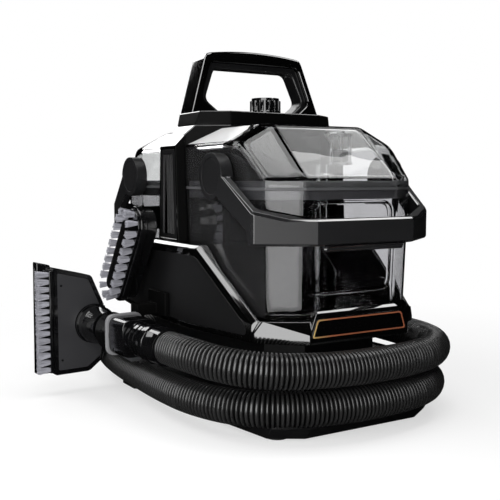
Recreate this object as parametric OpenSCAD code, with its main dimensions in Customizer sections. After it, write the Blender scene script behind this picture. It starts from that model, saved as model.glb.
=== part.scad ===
// Portable spot extractor: a wet cleaning machine for carpet and upholstery.
// Millimetres. The front faces -Y, +Z is up and the floor is z = 0.
// The two tanks mirror each other about y = 0.

/* [Base] */
// Height that the feet hold the pan above the floor
foot_drop = 3; // [2:0.5:6]
// Diameter of a rubber foot
foot_d = 26; // [16:1:34]
// Thickness of the base pan
pan_t = 13; // [10:0.5:20]
// Wall thickness of the base pan
pan_wall = 3.5; // [2.5:0.25:5]
// Half length of the pan at its bottom
pan_hd = 207; // [195:1:215]
// How far the front and rear of the pan flare out
pan_flare = 9; // [4:0.5:11]
// Reach of a side lug past the pan
lug_reach = 28; // [20:1:34]
// Outer diameter of the hose
hose_od = 35; // [34:0.5:35.5]
// Inner diameter of the hose
hose_id = 25; // [20:0.5:26]
// Number of ribs along the hose
rib_count = 150; // [60:2:200]
// Depth of a rib
rib_depth = 2.2; // [1:0.1:3]
// Half width of the core that the hose winds round
core_hw = 72; // [60:1:85]
// Half length of the core
core_hd = 165; // [140:1:175]

/* [Housing] */
// Thickness of the housing's sides, outside the tanks
cheek_t = 17; // [15.5:0.5:22.5]
// Half length of the housing
body_hd = 203; // [200:1:206]
// Height from the rim to the floor of the tank wells
tub_h = 22; // [18:1:28]
// Height of the shoulders above the floor of the tank wells
cheek_h = 69; // [55:1:80]
// Wall thickness of the housings
wall = 3; // [2:0.25:4]
// Bevel along the shoulder edge
shoulder_bevel = 4; // [2:0.5:6]
// Height of the badge
badge_h = 21; // [16:1:24]
// Half width of the badge at its bottom
badge_hw = 61; // [50:1:62]

/* [Column] */
// Half depth of the column in the middle
column_hd = 45; // [44.5:0.5:52]
// Thickness of the column's side wings
wing_t = 12; // [9.5:0.5:13.5]
// Height of the side grilles
grille_h = 107; // [90:1:115]
// Number of grooves in a grille
groove_count = 5; // [3:1:6]
// Height of the deck under the handle
deck_h = 15.5; // [13:0.5:20]

/* [Handle] */
// Height of the carry handle above the deck
handle_h = 74; // [64:1:85]
// Depth of the handle, front to back
handle_depth = 33; // [28:1:33]
// Thickness of the soft grip inside the handle
grip_t = 7; // [4:0.5:9]

/* [Tanks] */
// Half width of a tank
tank_hw = 103.5; // [100:0.5:103.5]
// Depth of the ledge in front of a tank
front_ledge = 13; // [11:0.5:15]
// Height of a tank without its lid
tank_h = 128; // [120:1:136]
// Wall thickness of tanks and lids
tank_wall = 3; // [2:0.25:3.5]
// Height of a lid
lid_h = 66; // [64:1:70]
// Thickness of the gasket's flange
gasket_t = 3; // [2:0.5:4]
// Gap between a tank and the column
tank_gap = 1.5; // [1:0.25:2.5]

/* [Bails] */
// Radius of a bail hub
hub_r = 23.8; // [18:0.1:24]
// Distance of the bail pivots from the middle of the machine
pivot_y = 105; // [100:0.5:110]
// Width of a bail arm
arm_w = 23; // [16:0.5:28]
// Thickness of the bail band
band_t = 11; // [8:0.5:12]
// Height of the bail's cross bar
bar_h = 26; // [22:0.5:32]
// Diameter of a bail pivot pin
pivot_d = 16; // [10:0.5:20]

/* [Cleaning tools] */
// Distance of the wand axis from the middle of the machine
wand_x = 168; // [164:0.5:174]
// Turn of the wand away from the machine, degrees
wand_yaw = 5; // [4:0.5:6]
// Diameter of the wand's spigot
spigot_d = 26; // [20:0.5:28]
// Diameter of the trigger's pivot pin
trigger_pin_d = 4; // [3:0.25:5]
// Number of tufts on the wide tool
tool_tufts = 14; // [8:1:16]
// Number of tufts round the oval brush
brush_tufts = 22; // [12:1:24]
// Length of the oval brush
brush_len = 132; // [110:1:140]
// Width of the oval brush
brush_w = 44; // [36:1:48]

/* [Small parts] */
// Diameter of the control dial
dial_d = 36; // [34:0.5:45]
// Number of flutes round the dial
dial_flutes = 16; // [12:1:20]
// Diameter of the dial's shaft
dial_shaft_d = 8; // [6:0.5:10]
// Running clearance of a shaft or pin, on the radius
run = 0.05; // [0.03:0.01:0.08]
// Diameter of the screws under the base
screw_d = 4; // [3:0.25:5]

/* [Hidden] */
$fn = 48;
far = 400; // longer than any piece, for cutting tools
skin = 0.02; // thickness of the slices that a hull joins

// levels, from the floor up
pan_top = foot_drop + pan_t;
rim_z = pan_top + 2 * hose_od + 7;
seat_z = rim_z + tub_h;
shoulder_z = seat_z + cheek_h;
grille_top = shoulder_z + grille_h;
body_hw = tank_hw + cheek_t; // half width of the housing at its shoulders
column_hw = tank_hw + 1;
wing_hw = column_hw + wing_t; // half width of the column outside its side wings
wing_slope = 23.5; // the wings lean in this far, at 45 degrees, above the grilles
handle_base_hw = wing_hw - wing_slope; // half width of the handle where it leaves the column
roof_z = grille_top + wing_slope;
deck_z = roof_z + deck_h;
handle_top = deck_z + handle_h;
tank_top = seat_z + tank_h;
lid_z = tank_top + gasket_t;
lid_top = lid_z + lid_h;
pivot_z = lid_z + 11;
tank_front = body_hd - front_ledge; // distance of a tank's front face from the middle of the machine

// plans, counter-clockwise, each from the corners of one quarter
function ring4(q) = concat(
    [for (p = q) [-p.x, -p.y]],
    [for (i = [len(q) - 1:-1:0]) [q[i].x, -q[i].y]],
    [for (p = q) [p.x, p.y]],
    [for (i = [len(q) - 1:-1:0]) [-q[i].x, q[i].y]]);
// moves every edge of an outline inwards by d
function inset(pts, d) = let (n = len(pts)) [for (i = [0:n - 1]) let (
        p = pts[i],
        a = (p - pts[(i + n - 1) % n]) / norm(p - pts[(i + n - 1) % n]),
        b = (pts[(i + 1) % n] - p) / norm(pts[(i + 1) % n] - p),
        na = [-a.y, a.x],
        nb = [-b.y, b.x])
    p + d * (na + nb) / (1 + na * nb)];
// rounds every corner of an outline, starting r before it or at the middle of a shorter edge
function soften(pts, r, steps = 5) = let (n = len(pts)) [for (i = [0:n - 1]) let (
        p = pts[i],
        back = pts[(i + n - 1) % n] - p,
        on = pts[(i + 1) % n] - p,
        a = p + min(r, 0.49 * norm(back)) * back / norm(back),
        b = p + min(r, 0.49 * norm(on)) * on / norm(on))
    for (k = [0:steps]) let (t = k / steps) (1 - t) * (1 - t) * a + 2 * t * (1 - t) * p + t * t * b];
// a straight strip of width w from a to b
function strip(a, b, w) = let (e = (b - a) / norm(b - a), n = [-e.y, e.x] * w / 2)
    [a - n, b - n, b + n, a + n];

corner_len = 38; // length of the housing's slanted corners along the machine
body_plan = ring4([[body_hw, 60], [body_hw - 17.5, body_hd - corner_len], [body_hw - 58.5, body_hd]]);
pan_hw = body_hw - 8.5;
pan_plan = ring4([[pan_hw, 120], [pan_hw - 10, pan_hd - 20], [pan_hw - 42, pan_hd]]);
core_plan = ring4([[core_hw, core_hd - 30], [core_hw - 30, core_hd]]);
column_side = 15; // half depth of the column at its sides
column_plan = ring4([[column_hw, column_side], [60, column_hd]]);
tank_rear = -column_side - tank_gap;
tank_face = tank_hw - 45.5; // half width of a tank's front face
tank_bend = tank_hw - 10.5; // half width of a tank where its slanted corners end
tank_quarter = [[tank_hw, pivot_y], [tank_bend, tank_front - 22], [tank_face, tank_front]];
tank_plan = [[-tank_face, -tank_front], [tank_face, -tank_front], [tank_bend, 22 - tank_front],
    [tank_hw, -pivot_y], [tank_hw, tank_rear], [-tank_hw, tank_rear], [-tank_hw, -pivot_y],
    [-tank_bend, 22 - tank_front]];
well_plan = inset(ring4(tank_quarter), -2);
cheek_hd = body_hd - corner_len;
cheek_profile = [[-cheek_hd, rim_z - 6], [cheek_hd, rim_z - 6], [cheek_hd, seat_z - 1], [74, shoulder_z],
    [-74, shoulder_z], [-cheek_hd, seat_z - 1]];
panel_recess = 0.3;
panel_t = 1.5;
panel_profile = soften(inset(cheek_profile, 12), 6);
panel_face = body_hw - panel_recess;

// prisms: an outline in XY between two heights, in YZ between two x, or in XZ between two y
module upright(pts, z0, z1) translate([0, 0, z0]) linear_extrude(z1 - z0) polygon(pts);
module sideways(pts, x0, x1) translate([x0, 0, 0]) rotate([90, 0, 90]) linear_extrude(x1 - x0) polygon(pts);
module lengthways(pts, y0, y1) translate([0, y1, 0]) rotate([90, 0, 0]) linear_extrude(y1 - y0) polygon(pts);
module block(lo, hi) translate(lo) cube(hi - lo);
module both_sides() {
    children();
    mirror([1, 0, 0]) children();
}
module rear_half() mirror([0, 1, 0]) children();
// a round bar along X or Y
module bar_x(d, x0, x1, y, z) translate([x0, y, z]) rotate([0, 90, 0]) cylinder(d = d, h = x1 - x0);
module bar_y(d, y0, y1, x, z) translate([x, y1, z]) rotate([90, 0, 0]) cylinder(d = d, h = y1 - y0);

// ---- base ----

foot_x = pan_hw - 28;
foot_y = pan_hd - 29;
foot_spots = [for (x = [-foot_x, foot_x], y = [-foot_y, foot_y]) [x, y]];
base_screw_x = core_hw - 10;
base_screw_spots = [for (x = [-base_screw_x, base_screw_x], y = [-120, 0, 120]) [x, y]];
foot_pocket = 2;
screw_head_h = 3;
core_boss_h = 9;

module base_pan() color("#151515") difference() {
    union() {
        difference() {
            hull() {
                upright(pan_plan, foot_drop, foot_drop + skin);
                upright([for (p = pan_plan) [p.x, p.y + sign(p.y) * pan_flare]], pan_top - skin, pan_top);
            }
            upright(inset(pan_plan, pan_wall), foot_drop - 1, pan_top - pan_wall);
        }
        both_sides() pan_lug();
        for (p = foot_spots)
            translate([p.x, p.y, foot_drop]) cylinder(d = foot_d + 2 * pan_wall, h = pan_t - 1);
        for (p = base_screw_spots)
            translate([p.x, p.y, foot_drop]) cylinder(d = 4 * screw_d, h = pan_t - 1);
        for (p = base_screw_spots)
            if (p.x > 0) block([-p.x, p.y - pan_wall / 2, foot_drop], [p.x, p.y + pan_wall / 2, pan_top - 1]);
        block([-pan_wall / 2, -pan_hd + 1, foot_drop], [pan_wall / 2, pan_hd - 1, pan_top - 1]);
    }
    for (p = foot_spots)
        translate([p.x, p.y, foot_drop - 1]) cylinder(d = foot_d + 2 * run, h = foot_pocket + 1);
    for (p = base_screw_spots) translate([p.x, p.y, foot_drop - 1]) {
        cylinder(d = screw_d + 0.4, h = pan_t + 2);
        cylinder(d = 2 * screw_d + 0.6, h = screw_head_h + 1.5);
    }
}
// the lug that carries the hose at the side of the pan
module pan_lug() difference() {
    upright([[pan_hw - 12, 0], [pan_hw + lug_reach * 0.75, 22], [pan_hw + lug_reach, 50],
        [pan_hw + lug_reach, 84], [pan_hw - 12, 90]], foot_drop, pan_top);
    translate([pan_hw + lug_reach, 0, foot_drop - 8]) rotate([0, 30, 0]) cube([30, 240, 16], center = true);
}

module base_feet() color("#1c1c1c") for (p = foot_spots)
    translate([p.x, p.y, 0]) {
        cylinder(d = foot_d - 3, h = foot_drop);
        translate([0, 0, 1]) cylinder(d = foot_d, h = foot_drop - 1 + foot_pocket);
    }

module base_screws() color("silver") for (p = base_screw_spots) translate([p.x, p.y, foot_drop + 0.5]) {
    difference() {
        cylinder(d = 2 * screw_d, h = screw_head_h);
        translate([0, 0, -1]) cylinder(d = screw_d * 0.6, h = screw_head_h / 2 + 1, $fn = 6);
    }
    cylinder(d = screw_d, h = pan_t + wall + core_boss_h / 2);
}

// ---- hose channel and what the base holds ----

duct_d = 30;
duct_wall = 2.5;
duct_spot = [tank_face - 18, -72];
port_y = 38; // where the hose ends
port_len = 40;
hose_low_z = pan_top + 0.5 + hose_od / 2;
port_mid_y = port_y + port_len / 2;

module hose_core() color("#0c0c0c") difference() {
    union() {
        difference() {
            union() {
                upright(core_plan, pan_top, rim_z);
                upright(inset(body_plan, wall + 0.4), rim_z, rim_z + wall);
            }
            upright(inset(core_plan, wall), pan_top + wall, rim_z + wall + 1);
        }
        for (p = base_screw_spots)
            translate([p.x, p.y, pan_top]) cylinder(d = 3 * screw_d, h = wall + core_boss_h);
        for (y = [-20, 50]) translate([-30, y, pan_top]) cylinder(d = 10, h = wall + 8);
    }
    for (p = base_screw_spots)
        translate([p.x, p.y, pan_top - 1]) cylinder(d = screw_d + 2 * run, h = wall + core_boss_h + 2);
    bar_x(duct_d - 2 * duct_wall, core_hw - wall - 1, core_hw + 1, port_mid_y, hose_low_z);
}

module suction_duct() color("#2b2b2b") difference() {
    union() {
        bar_x(duct_d, duct_spot.x, core_hw - wall, port_mid_y, hose_low_z);
        bar_y(duct_d, duct_spot.y, port_mid_y + duct_d / 2, duct_spot.x, hose_low_z);
        translate([duct_spot.x, duct_spot.y, hose_low_z - duct_d / 2])
            cylinder(d = duct_d, h = seat_z - wall - hose_low_z + duct_d / 2);
    }
    bore = duct_d - 2 * duct_wall;
    bar_x(bore, duct_spot.x, core_hw, port_mid_y, hose_low_z);
    bar_y(bore, duct_spot.y, port_mid_y + bore / 2, duct_spot.x, hose_low_z);
    translate([duct_spot.x, duct_spot.y, hose_low_z - bore / 2]) cylinder(d = bore, h = far);
}

hose_end_x = 132;
module hose_port() color("#101010") difference() {
    union() {
        block([core_hw, port_y + 3, pan_top],
            [hose_end_x + hose_od / 2 - 3, port_y + port_len, pan_top + hose_od - 1]);
        bar_y(hose_od - 1, port_y, port_y + 4, hose_end_x, hose_low_z);
    }
    bar_y(hose_id - 1, port_y - 1, port_mid_y, hose_end_x, hose_low_z);
    bar_x(hose_id - 1, core_hw - 1, hose_end_x, port_mid_y, hose_low_z);
}

// The hose winds round the base: from the wand forwards along the left, across the front, back along the
// right, across the rear, down, and once more along the left, the front and the right into its port.
hose_route = [[-161, -92, 82], [-159.5, -109.5, 82], [-158, -127, 82], [-155, -141, 81.5],
    [-146, -166, 79], [-126, -192, 76], [-95, -211, 73.5], [-50, -222, 72], [0, -225, 71.5],
    [50, -220, 71.5], [90, -207, 71.5], [122, -180, 71.5], [140, -145, 71.5], [147, -100, 71.5],
    [150, -50, 71.5], [150, 0, 71.5], [149, 50, 71.5], [146, 100, 71.5], [138, 145, 71.5],
    [116, 182, 70.5], [82, 205, 67], [40, 216, 61], [-5, 219, 53], [-50, 215, 45], [-90, 198, 38],
    [-119, 168, 34.5], [-136, 128, 34], [-144, 82, 34], [-148, 34, 34], [-150, -20, 34],
    [-150, -70, 34], [-146, -115, 34], [-133, -157, 34], [-110, -189, 34], [-75, -210, 34],
    [-35, -220, 34], [10, -222, 34], [55, -216, 34], [90, -202, 34], [117, -176, 34], [131, -140, 34],
    [135, -95, 34], [134, -50, 34], [132.5, -15, 34], [132, 3, 34], [132, 20.5, 34], [132, 38, 34]];
function curve(p, q, r, s, t) = 0.5 * (2 * q + (r - p) * t + (2 * p - 5 * q + 4 * r - s) * t * t
    + (-p + 3 * q - 3 * r + s) * t * t * t);
function smooth_path(pts, steps) = let (n = len(pts),
        e = concat([2 * pts[0] - pts[1]], pts, [2 * pts[n - 1] - pts[n - 2]]))
    concat([for (i = [1:n - 1], k = [0:steps - 1]) curve(e[i - 1], e[i], e[i + 1], e[i + 2], k / steps)],
        [pts[n - 1]]);
function run_lengths(pts) = [for (i = 0, s = 0; i < len(pts);
    s = s + (i < len(pts) - 1 ? norm(pts[i + 1] - pts[i]) : 0), i = i + 1) s];
// the point at every one of the given lengths along a path, both in rising order
function stations(pts, lens, wanted) = [for (k = 0, i = 0; k < len(wanted);
        k = k + 1,
        i = k < len(wanted) ? next_index(lens, i, wanted[k]) : i)
    let (j = next_index(lens, i, wanted[k]), f = (wanted[k] - lens[j]) / (lens[j + 1] - lens[j]))
    pts[j] + f * (pts[j + 1] - pts[j])];
function next_index(lens, i, s) = i < len(lens) - 2 && lens[i + 1] < s ? next_index(lens, i + 1, s) : i;
function heading(c, i) = let (a = c[max(i - 1, 0)], b = c[min(i + 1, len(c) - 1)]) (b - a) / norm(b - a);
hose_sides = 8;
function hose_ring(c, i, r) = let (
        t = heading(c, i),
        s = cross(t, [0, 0, 1]) / norm(cross(t, [0, 0, 1])),
        u = cross(s, t))
    [for (k = [0:hose_sides - 1]) let (a = (k + 0.5) * 360 / hose_sides)
        c[i] + r * (cos(a) * s + sin(a) * u)];
function tube_faces(first, rings, flip) = [for (i = [0:rings - 2], k = [0:hose_sides - 1]) let (
        a = first + i * hose_sides + k,
        b = first + i * hose_sides + (k + 1) % hose_sides,
        c = b + hose_sides,
        d = a + hose_sides)
    each flip ? [[a, b, c], [a, c, d]] : [[a, c, b], [a, d, c]]];
function end_faces(outer, inner, flip) = [for (k = [0:hose_sides - 1]) let (
        a = outer + k, b = outer + (k + 1) % hose_sides, c = inner + (k + 1) % hose_sides, d = inner + k)
    each flip ? [[a, c, b], [a, d, c]] : [[a, b, c], [a, c, d]]];

module hose() {
    path = smooth_path(hose_route, 8);
    lens = run_lengths(path);
    total = lens[len(lens) - 1];
    count = 2 * rib_count + 1;
    centres = stations(path, lens, [for (i = [0:count - 1]) i * total / (count - 1)]);
    bore_rings = concat([for (i = [0:4:count - 2]) i], [count - 1]);
    outer = [for (i = [0:count - 1]) each hose_ring(centres, i, hose_od / 2 - (i % 2 == 0 ? rib_depth : 0))];
    inner = [for (i = bore_rings) each hose_ring(centres, i, hose_id / 2)];
    n_outer = len(outer);
    n_inner = len(bore_rings);
    gaps = [for (i = [0:2:count - 1], j = [i + 18:2:count - 1]) norm(centres[i] - centres[j]) - hose_od];
    echo(hose_length = total, least_gap_to_itself = min(gaps));
    color("#1a1a1a") polyhedron(points = concat(outer, inner), faces = concat(
        tube_faces(0, count, true),
        tube_faces(n_outer, n_inner, false),
        end_faces(0, n_outer, true),
        end_faces(n_outer - hose_sides, n_outer + (n_inner - 1) * hose_sides, false)), convexity = 20);
}

// ---- housing ----

strip_front = body_hd - 7; // where the bevel above the badge ends
strip_top = seat_z + 10.5;
strip_low = seat_z + 5; // where that bevel starts
badge_low = strip_low - badge_h - 0.5;
badge_slope = 7;
badge_t = 1;

module housing() color("#0b0b0b") difference() {
    union() {
        intersection() {
            hull() {
                beveled_cheeks(0, shoulder_bevel);
                beveled_cheeks(shoulder_bevel, 0);
            }
            block([-far, -far, rim_z], [far, far, far]);
        }
        upright(body_plan, rim_z, rim_z + 10);
        hull() {
            upright(body_plan, rim_z + 10, rim_z + 10 + skin);
            upright(inset(well_plan, -1.5), seat_z - skin, seat_z);
        }
        upright(column_plan, seat_z, shoulder_z);
        badge_block();
        rear_half() badge_block();
    }
    tank_wells();
    housing_cavity();
    badge_pocket();
    both_sides() panel_skin(0, panel_t);
    translate([duct_spot.x, duct_spot.y, seat_z - wall - 1])
        cylinder(d = duct_d - 2 * duct_wall, h = wall + 2);
    bar_y(gland_d + 2 * run, body_hd - gland_len - 3, body_hd + 1, gland_x, gland_z);
}
module beveled_cheeks(from_side, from_top) intersection() {
    upright(inset(body_plan, from_side), rim_z - 20, far);
    sideways(inset(cheek_profile, from_top), -far / 2, far / 2);
}
module tank_wells() difference() {
    upright(well_plan, seat_z, far);
    upright(column_plan, seat_z - 1, far);
    strip_keep();
    rear_half() strip_keep();
}
// the ledge in front of a tank well that carries the bevel above the badge
module strip_keep() block([-tank_face, -body_hd, seat_z - 1], [tank_face, -tank_front + 2, strip_top]);
module badge_block() intersection() {
    sideways([[-body_hd, rim_z], [-tank_front - 1, rim_z], [-tank_front - 1, strip_top],
        [-strip_front, strip_top], [-body_hd, strip_low]], -far / 2, far / 2);
    lengthways([[-badge_hw - 1, rim_z], [badge_hw + 1, rim_z], [badge_hw + 1, badge_low],
        [badge_hw - badge_slope, strip_low],
        [badge_hw - badge_slope - 4, strip_top], [-badge_hw + badge_slope + 4, strip_top],
        [-badge_hw + badge_slope, strip_low], [-badge_hw - 1, badge_low]], -far / 2, far / 2);
}
module housing_cavity() {
    upright(inset(body_plan, wall), rim_z - 1, rim_z + 10);
    upright(inset(well_plan, 4), rim_z - 1, seat_z - wall);
    upright(inset(column_plan, wall), rim_z - 1, shoulder_z - wall);
    difference() {
        intersection() {
            upright(inset(body_plan, 2 * wall), rim_z - 1, far);
            sideways(inset(cheek_profile, 2 * wall), -far / 2, far / 2);
        }
        upright(inset(well_plan, -wall), seat_z - 2 * wall, far);
        upright(column_plan, rim_z, far);
    }
    translate([0, 0, shoulder_z - wall - 1]) cylinder(d = 26, h = wall + 2);
}
module panel_skin(from, to) difference() {
    intersection() {
        upright(inset(body_plan, from), rim_z, shoulder_z);
        sideways(panel_profile, 60, far / 2);
    }
    upright(inset(body_plan, to), rim_z - 1, shoulder_z + 1);
}

module right_side_panel() color("#1b1b1b") panel_skin(panel_recess, panel_t);
module left_side_panel() color("#1b1b1b") mirror([1, 0, 0]) panel_skin(panel_recess, panel_t);

badge_outline = [[-badge_hw, badge_low], [badge_hw, badge_low], [badge_hw - badge_slope, strip_low - 1],
    [-badge_hw + badge_slope, strip_low - 1]];
trim_w = 1.4;
module badge_pocket() lengthways(soften(badge_outline, 3), -body_hd - 1, -body_hd + badge_t);
module badge_plate() color("#080808") difference() {
    lengthways(soften(inset(badge_outline, 0.1), 3), -body_hd, -body_hd + badge_t);
    badge_groove();
}
module badge_groove() difference() {
    lengthways(soften(inset(badge_outline, 1.2), 3), -body_hd - 1, -body_hd + badge_t / 2);
    lengthways(soften(inset(badge_outline, 1.2 + trim_w), 2.4), -body_hd - 2, -body_hd + badge_t);
}
module badge_trim() color("#8a4b32") difference() {
    lengthways(soften(inset(badge_outline, 1.25), 3), -body_hd - 0.2, -body_hd + badge_t / 2);
    lengthways(soften(inset(badge_outline, 1.15 + trim_w), 2.4), -body_hd - 2, -body_hd + badge_t);
}

gland_d = 14;
gland_x = -30;
gland_len = 17;
gland_z = rim_z + 11.5;
cable_d = 7;
module cord_gland() color("#141414") difference() {
    union() {
        bar_y(gland_d, body_hd - gland_len, body_hd, gland_x, gland_z);
        translate([gland_x, body_hd, gland_z]) rotate([-90, 0, 0])
            cylinder(d1 = gland_d + 3, d2 = gland_d - 2, h = 9);
    }
    bar_y(cable_d, 0, far, gland_x, gland_z);
}

// ---- column ----

wing_foot = 26; // half depth of a wing at the shoulder
wing_head = 20; // half depth of a wing at the top of the grille
wing_profile = [[-wing_foot, shoulder_z], [wing_foot, shoulder_z], [wing_head, grille_top],
    [wing_head, roof_z], [-wing_head, roof_z], [-wing_head, grille_top]];
column_front = [[-wing_hw, shoulder_z], [wing_hw, shoulder_z], [wing_hw, grille_top],
    [handle_base_hw, roof_z], [-handle_base_hw, roof_z], [-wing_hw, grille_top]];
grille_profile = inset([[-wing_foot, shoulder_z], [wing_foot, shoulder_z], [wing_head, grille_top],
    [-wing_head, grille_top]], 3.5);
grille_t = 4;

module column_solid(from) intersection() {
    union() {
        upright(inset(column_plan, from), shoulder_z - (from > 0 ? 1 : 0), roof_z);
        if (from == 0) both_sides() sideways(wing_profile, column_hw - 0.1, far / 2);
    }
    lengthways(inset(column_front, from), -far / 2, far / 2);
}
module column() color("#0b0b0b") difference() {
    column_solid(0);
    difference() {
        column_solid(wall);
        block([-far, -far, 0], [far, far, shoulder_z]);
    }
    block([-column_hw + 2 * wall, -column_side + wall, shoulder_z - 1],
        [column_hw - 2 * wall, column_side - wall, shoulder_z + 2 * wall]);
    upright(inset(column_plan, wall), shoulder_z - 1, shoulder_z + 2 * wall);
    both_sides() sideways(grille_profile, wing_hw - grille_t, far / 2);
    translate([0, dial_y, roof_z - wall - 1]) cylinder(d = switch_d + 2 * run, h = wall + 2);
}

groove_w = 4;
module right_grille() color("#161616") difference() {
    sideways(inset(grille_profile, 0.2), wing_hw - grille_t, wing_hw - 0.5);
    for (i = [0:groove_count - 1]) let (
            f = i - (groove_count - 1) / 2,
            low = f * 1.6 * (wing_foot - 6) / groove_count,
            high = f * 1.6 * (wing_head - 6) / groove_count,
            z0 = shoulder_z + 9,
            z1 = grille_top - 9)
        sideways([[low - groove_w / 2, z0], [low + groove_w / 2, z0], [high + groove_w / 2, z1],
            [high - groove_w / 2, z1]], wing_hw - grille_t / 2 - 0.5, far / 2);
}
module left_grille() mirror([1, 0, 0]) right_grille();

handle_lean = 0.3; // how far the handle draws in for each millimetre of height
handle_front = -7;
handle_rake = 0.12; // how far the handle leans back for each millimetre of height
dial_y = -column_hd + 23.5;
switch_d = 30;
deck_front = [[-handle_base_hw, roof_z], [handle_base_hw, roof_z],
    [handle_base_hw - handle_lean * deck_h, deck_z], [-handle_base_hw + handle_lean * deck_h, deck_z]];
module top_deck() color("#0d0d0d") difference() {
    intersection() {
        upright(column_plan, roof_z, deck_z);
        lengthways(deck_front, -far / 2, far / 2);
    }
    intersection() {
        upright(inset(column_plan, wall), roof_z - 1, deck_z - wall);
        lengthways(inset(deck_front, wall), -far / 2, far / 2);
    }
    block([-70, -12, roof_z - 1], [70, 12, roof_z + 2 * wall]);
    translate([0, dial_y, roof_z - 1]) {
        cylinder(d = dial_shaft_d + 2 * run, h = deck_h + 2);
        cylinder(d = switch_d + 2 * run, h = 2 * wall);
    }
}

// ---- handle ----

deck_hw = handle_base_hw - handle_lean * deck_h;
top_hw = deck_hw - handle_lean * handle_h;
arch = 4.5; // rise of the middle of the handle's top
handle_outer = concat([[-deck_hw, deck_z], [deck_hw, deck_z]],
    [[top_hw + 1, handle_top - arch - 6]],
    [for (k = [0:8]) let (f = 1 - k / 4) [f * (top_hw - 4), handle_top - arch * f * f]],
    [[-top_hw - 1, handle_top - arch - 6]]);
opening_top = handle_top - 15;
opening_low = deck_z + 16;
opening_hw = deck_hw - 14;
opening_half = [[54, deck_z], [opening_hw, opening_low], [opening_hw - 14, opening_top]];
function opening(d) = concat([for (p = opening_half) [p.x - d, p.y - (p.y > opening_low ? d : 0)]],
    [for (i = [2:-1:0]) let (p = opening_half[i]) [-p.x + d, p.y - (p.y > opening_low ? d : 0)]]);
function opening_round(d) = let (o = opening(d))
    soften(concat([[o[0].x, deck_z - 12]], o, [[o[5].x, deck_z - 12]]), 7);

module raked() multmatrix([[1, 0, 0, 0], [0, 1, handle_rake, -handle_rake * deck_z], [0, 0, 1, 0],
    [0, 0, 0, 1]]) children();
module handle_frame() color("#0b0b0b") raked() difference() {
    lengthways(handle_outer, handle_front, handle_front + handle_depth);
    lengthways(opening_round(0), -far / 2, far / 2);
    block([-far, -far, 0], [far, far, deck_z]);
}
module handle_grip() color("#2a2a2a") raked() difference() {
    lengthways(opening_round(0.2), handle_front + 5, handle_front + handle_depth - 5);
    lengthways(opening_round(grip_t), -far / 2, far / 2);
    block([-far, -far, 0], [far, far, deck_z]);
}

dial_h = 17;
dial_lift = 0.5; // gap between the dial and the deck
module control_dial() color("#1a1a1a") {
    translate([0, dial_y, deck_z + dial_lift]) difference() {
        union() {
            cylinder(d = dial_d - 4, h = dial_h);
            cylinder(d = dial_d, h = dial_h - 3);
        }
        for (i = [0:dial_flutes - 1]) rotate([0, 0, i * 360 / dial_flutes])
            translate([dial_d / 2 + 1, 0, 2.5]) cylinder(d = 2.2 * dial_d / dial_flutes, h = dial_h);
        translate([0, 0, dial_h - 1.5]) cylinder(d = dial_d - 12, h = 2);
        block([-0.8, -dial_d / 2, dial_h - 2.5], [0.8, -dial_d / 2 + 8, dial_h + 1]);
    }
    translate([0, dial_y, roof_z + 1]) cylinder(d = dial_shaft_d, h = deck_h + dial_lift);
}
module dial_switch() color("#3a3a3a") difference() {
    translate([0, dial_y, roof_z - wall - 12]) cylinder(d = switch_d, h = 12 + 2 * wall);
    translate([0, dial_y, roof_z - 8]) cylinder(d = dial_shaft_d + 2 * run, h = far);
}

// ---- motor, pump, heater and board inside the column ----

fan_spot = [column_hw - 70.5, 0];
fan_d = 78;
fan_h = 26;
shaft_d = 8;
motor_d = 72;
motor_h = 66;
module fan_scroll() color("#303030") translate([fan_spot.x, fan_spot.y, shoulder_z]) difference() {
    cylinder(d = fan_d, h = fan_h);
    translate([0, 0, wall]) cylinder(d = fan_d - 2 * wall, h = fan_h - 2 * wall);
    translate([0, 0, -1]) cylinder(d = 24, h = wall + 2);
    translate([0, 0, fan_h - wall - 1]) cylinder(d = shaft_d + 4, h = wall + 2);
}
module impeller() color("#b9bcc0") translate([fan_spot.x, fan_spot.y, shoulder_z + wall + 2]) {
    difference() {
        union() {
            cylinder(d = fan_d - 2 * wall - 6, h = 2);
            cylinder(d = 16, h = fan_h - 2 * wall - 4);
            for (i = [0:8]) rotate([0, 0, i * 40]) translate([7, -1, 1]) cube([fan_d / 2 - wall - 11, 2, 12]);
        }
        translate([0, 0, 4]) cylinder(d = shaft_d, h = fan_h);
    }
    translate([0, 0, 4]) cylinder(d = shaft_d, h = fan_h - wall - 2 + 18);
}
module vacuum_motor() color("#55585c") translate([fan_spot.x, fan_spot.y, shoulder_z + fan_h]) difference() {
    union() {
        cylinder(d = motor_d, h = motor_h);
        translate([0, 0, motor_h]) cylinder(d = 30, h = 14);
        for (i = [0:11])
            rotate([0, 0, i * 30]) translate([motor_d / 2 - 1, -1.5, 8]) cube([3, 3, motor_h - 20]);
    }
    translate([0, 0, -1]) cylinder(d = shaft_d + 2 * run, h = 28);
}
module motor_cushion() color("#222222") difference() {
    translate([fan_spot.x, fan_spot.y, shoulder_z + fan_h + motor_h]) cylinder(d = 46, h = 14);
    translate([fan_spot.x, fan_spot.y, shoulder_z + fan_h + motor_h - 1]) cylinder(d = 30 + 2 * run, h = 16);
}
pump_x = 25.5 - column_hw;
pump_hw = 13;
boiler_low_x = pump_x + pump_hw + 8; // the boiler fills the room between the pump and the fan
boiler_high_x = fan_spot.x - fan_d / 2 - 1;
boiler_spot = [(boiler_low_x + boiler_high_x) / 2, 0];
boiler_d = boiler_high_x - boiler_low_x;
module steam_boiler() color("#9a9da1") translate([boiler_spot.x, boiler_spot.y, shoulder_z]) {
    for (i = [0:2]) rotate([0, 0, 120 * i]) translate([18, 0, 0]) cylinder(d = 6, h = 7);
    translate([0, 0, 6]) cylinder(d = boiler_d, h = 70);
    translate([0, 0, 75]) cylinder(d1 = boiler_d - 4, d2 = 20, h = 10);
    translate([0, 0, 84]) cylinder(d = 10, h = 12);
}
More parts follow.
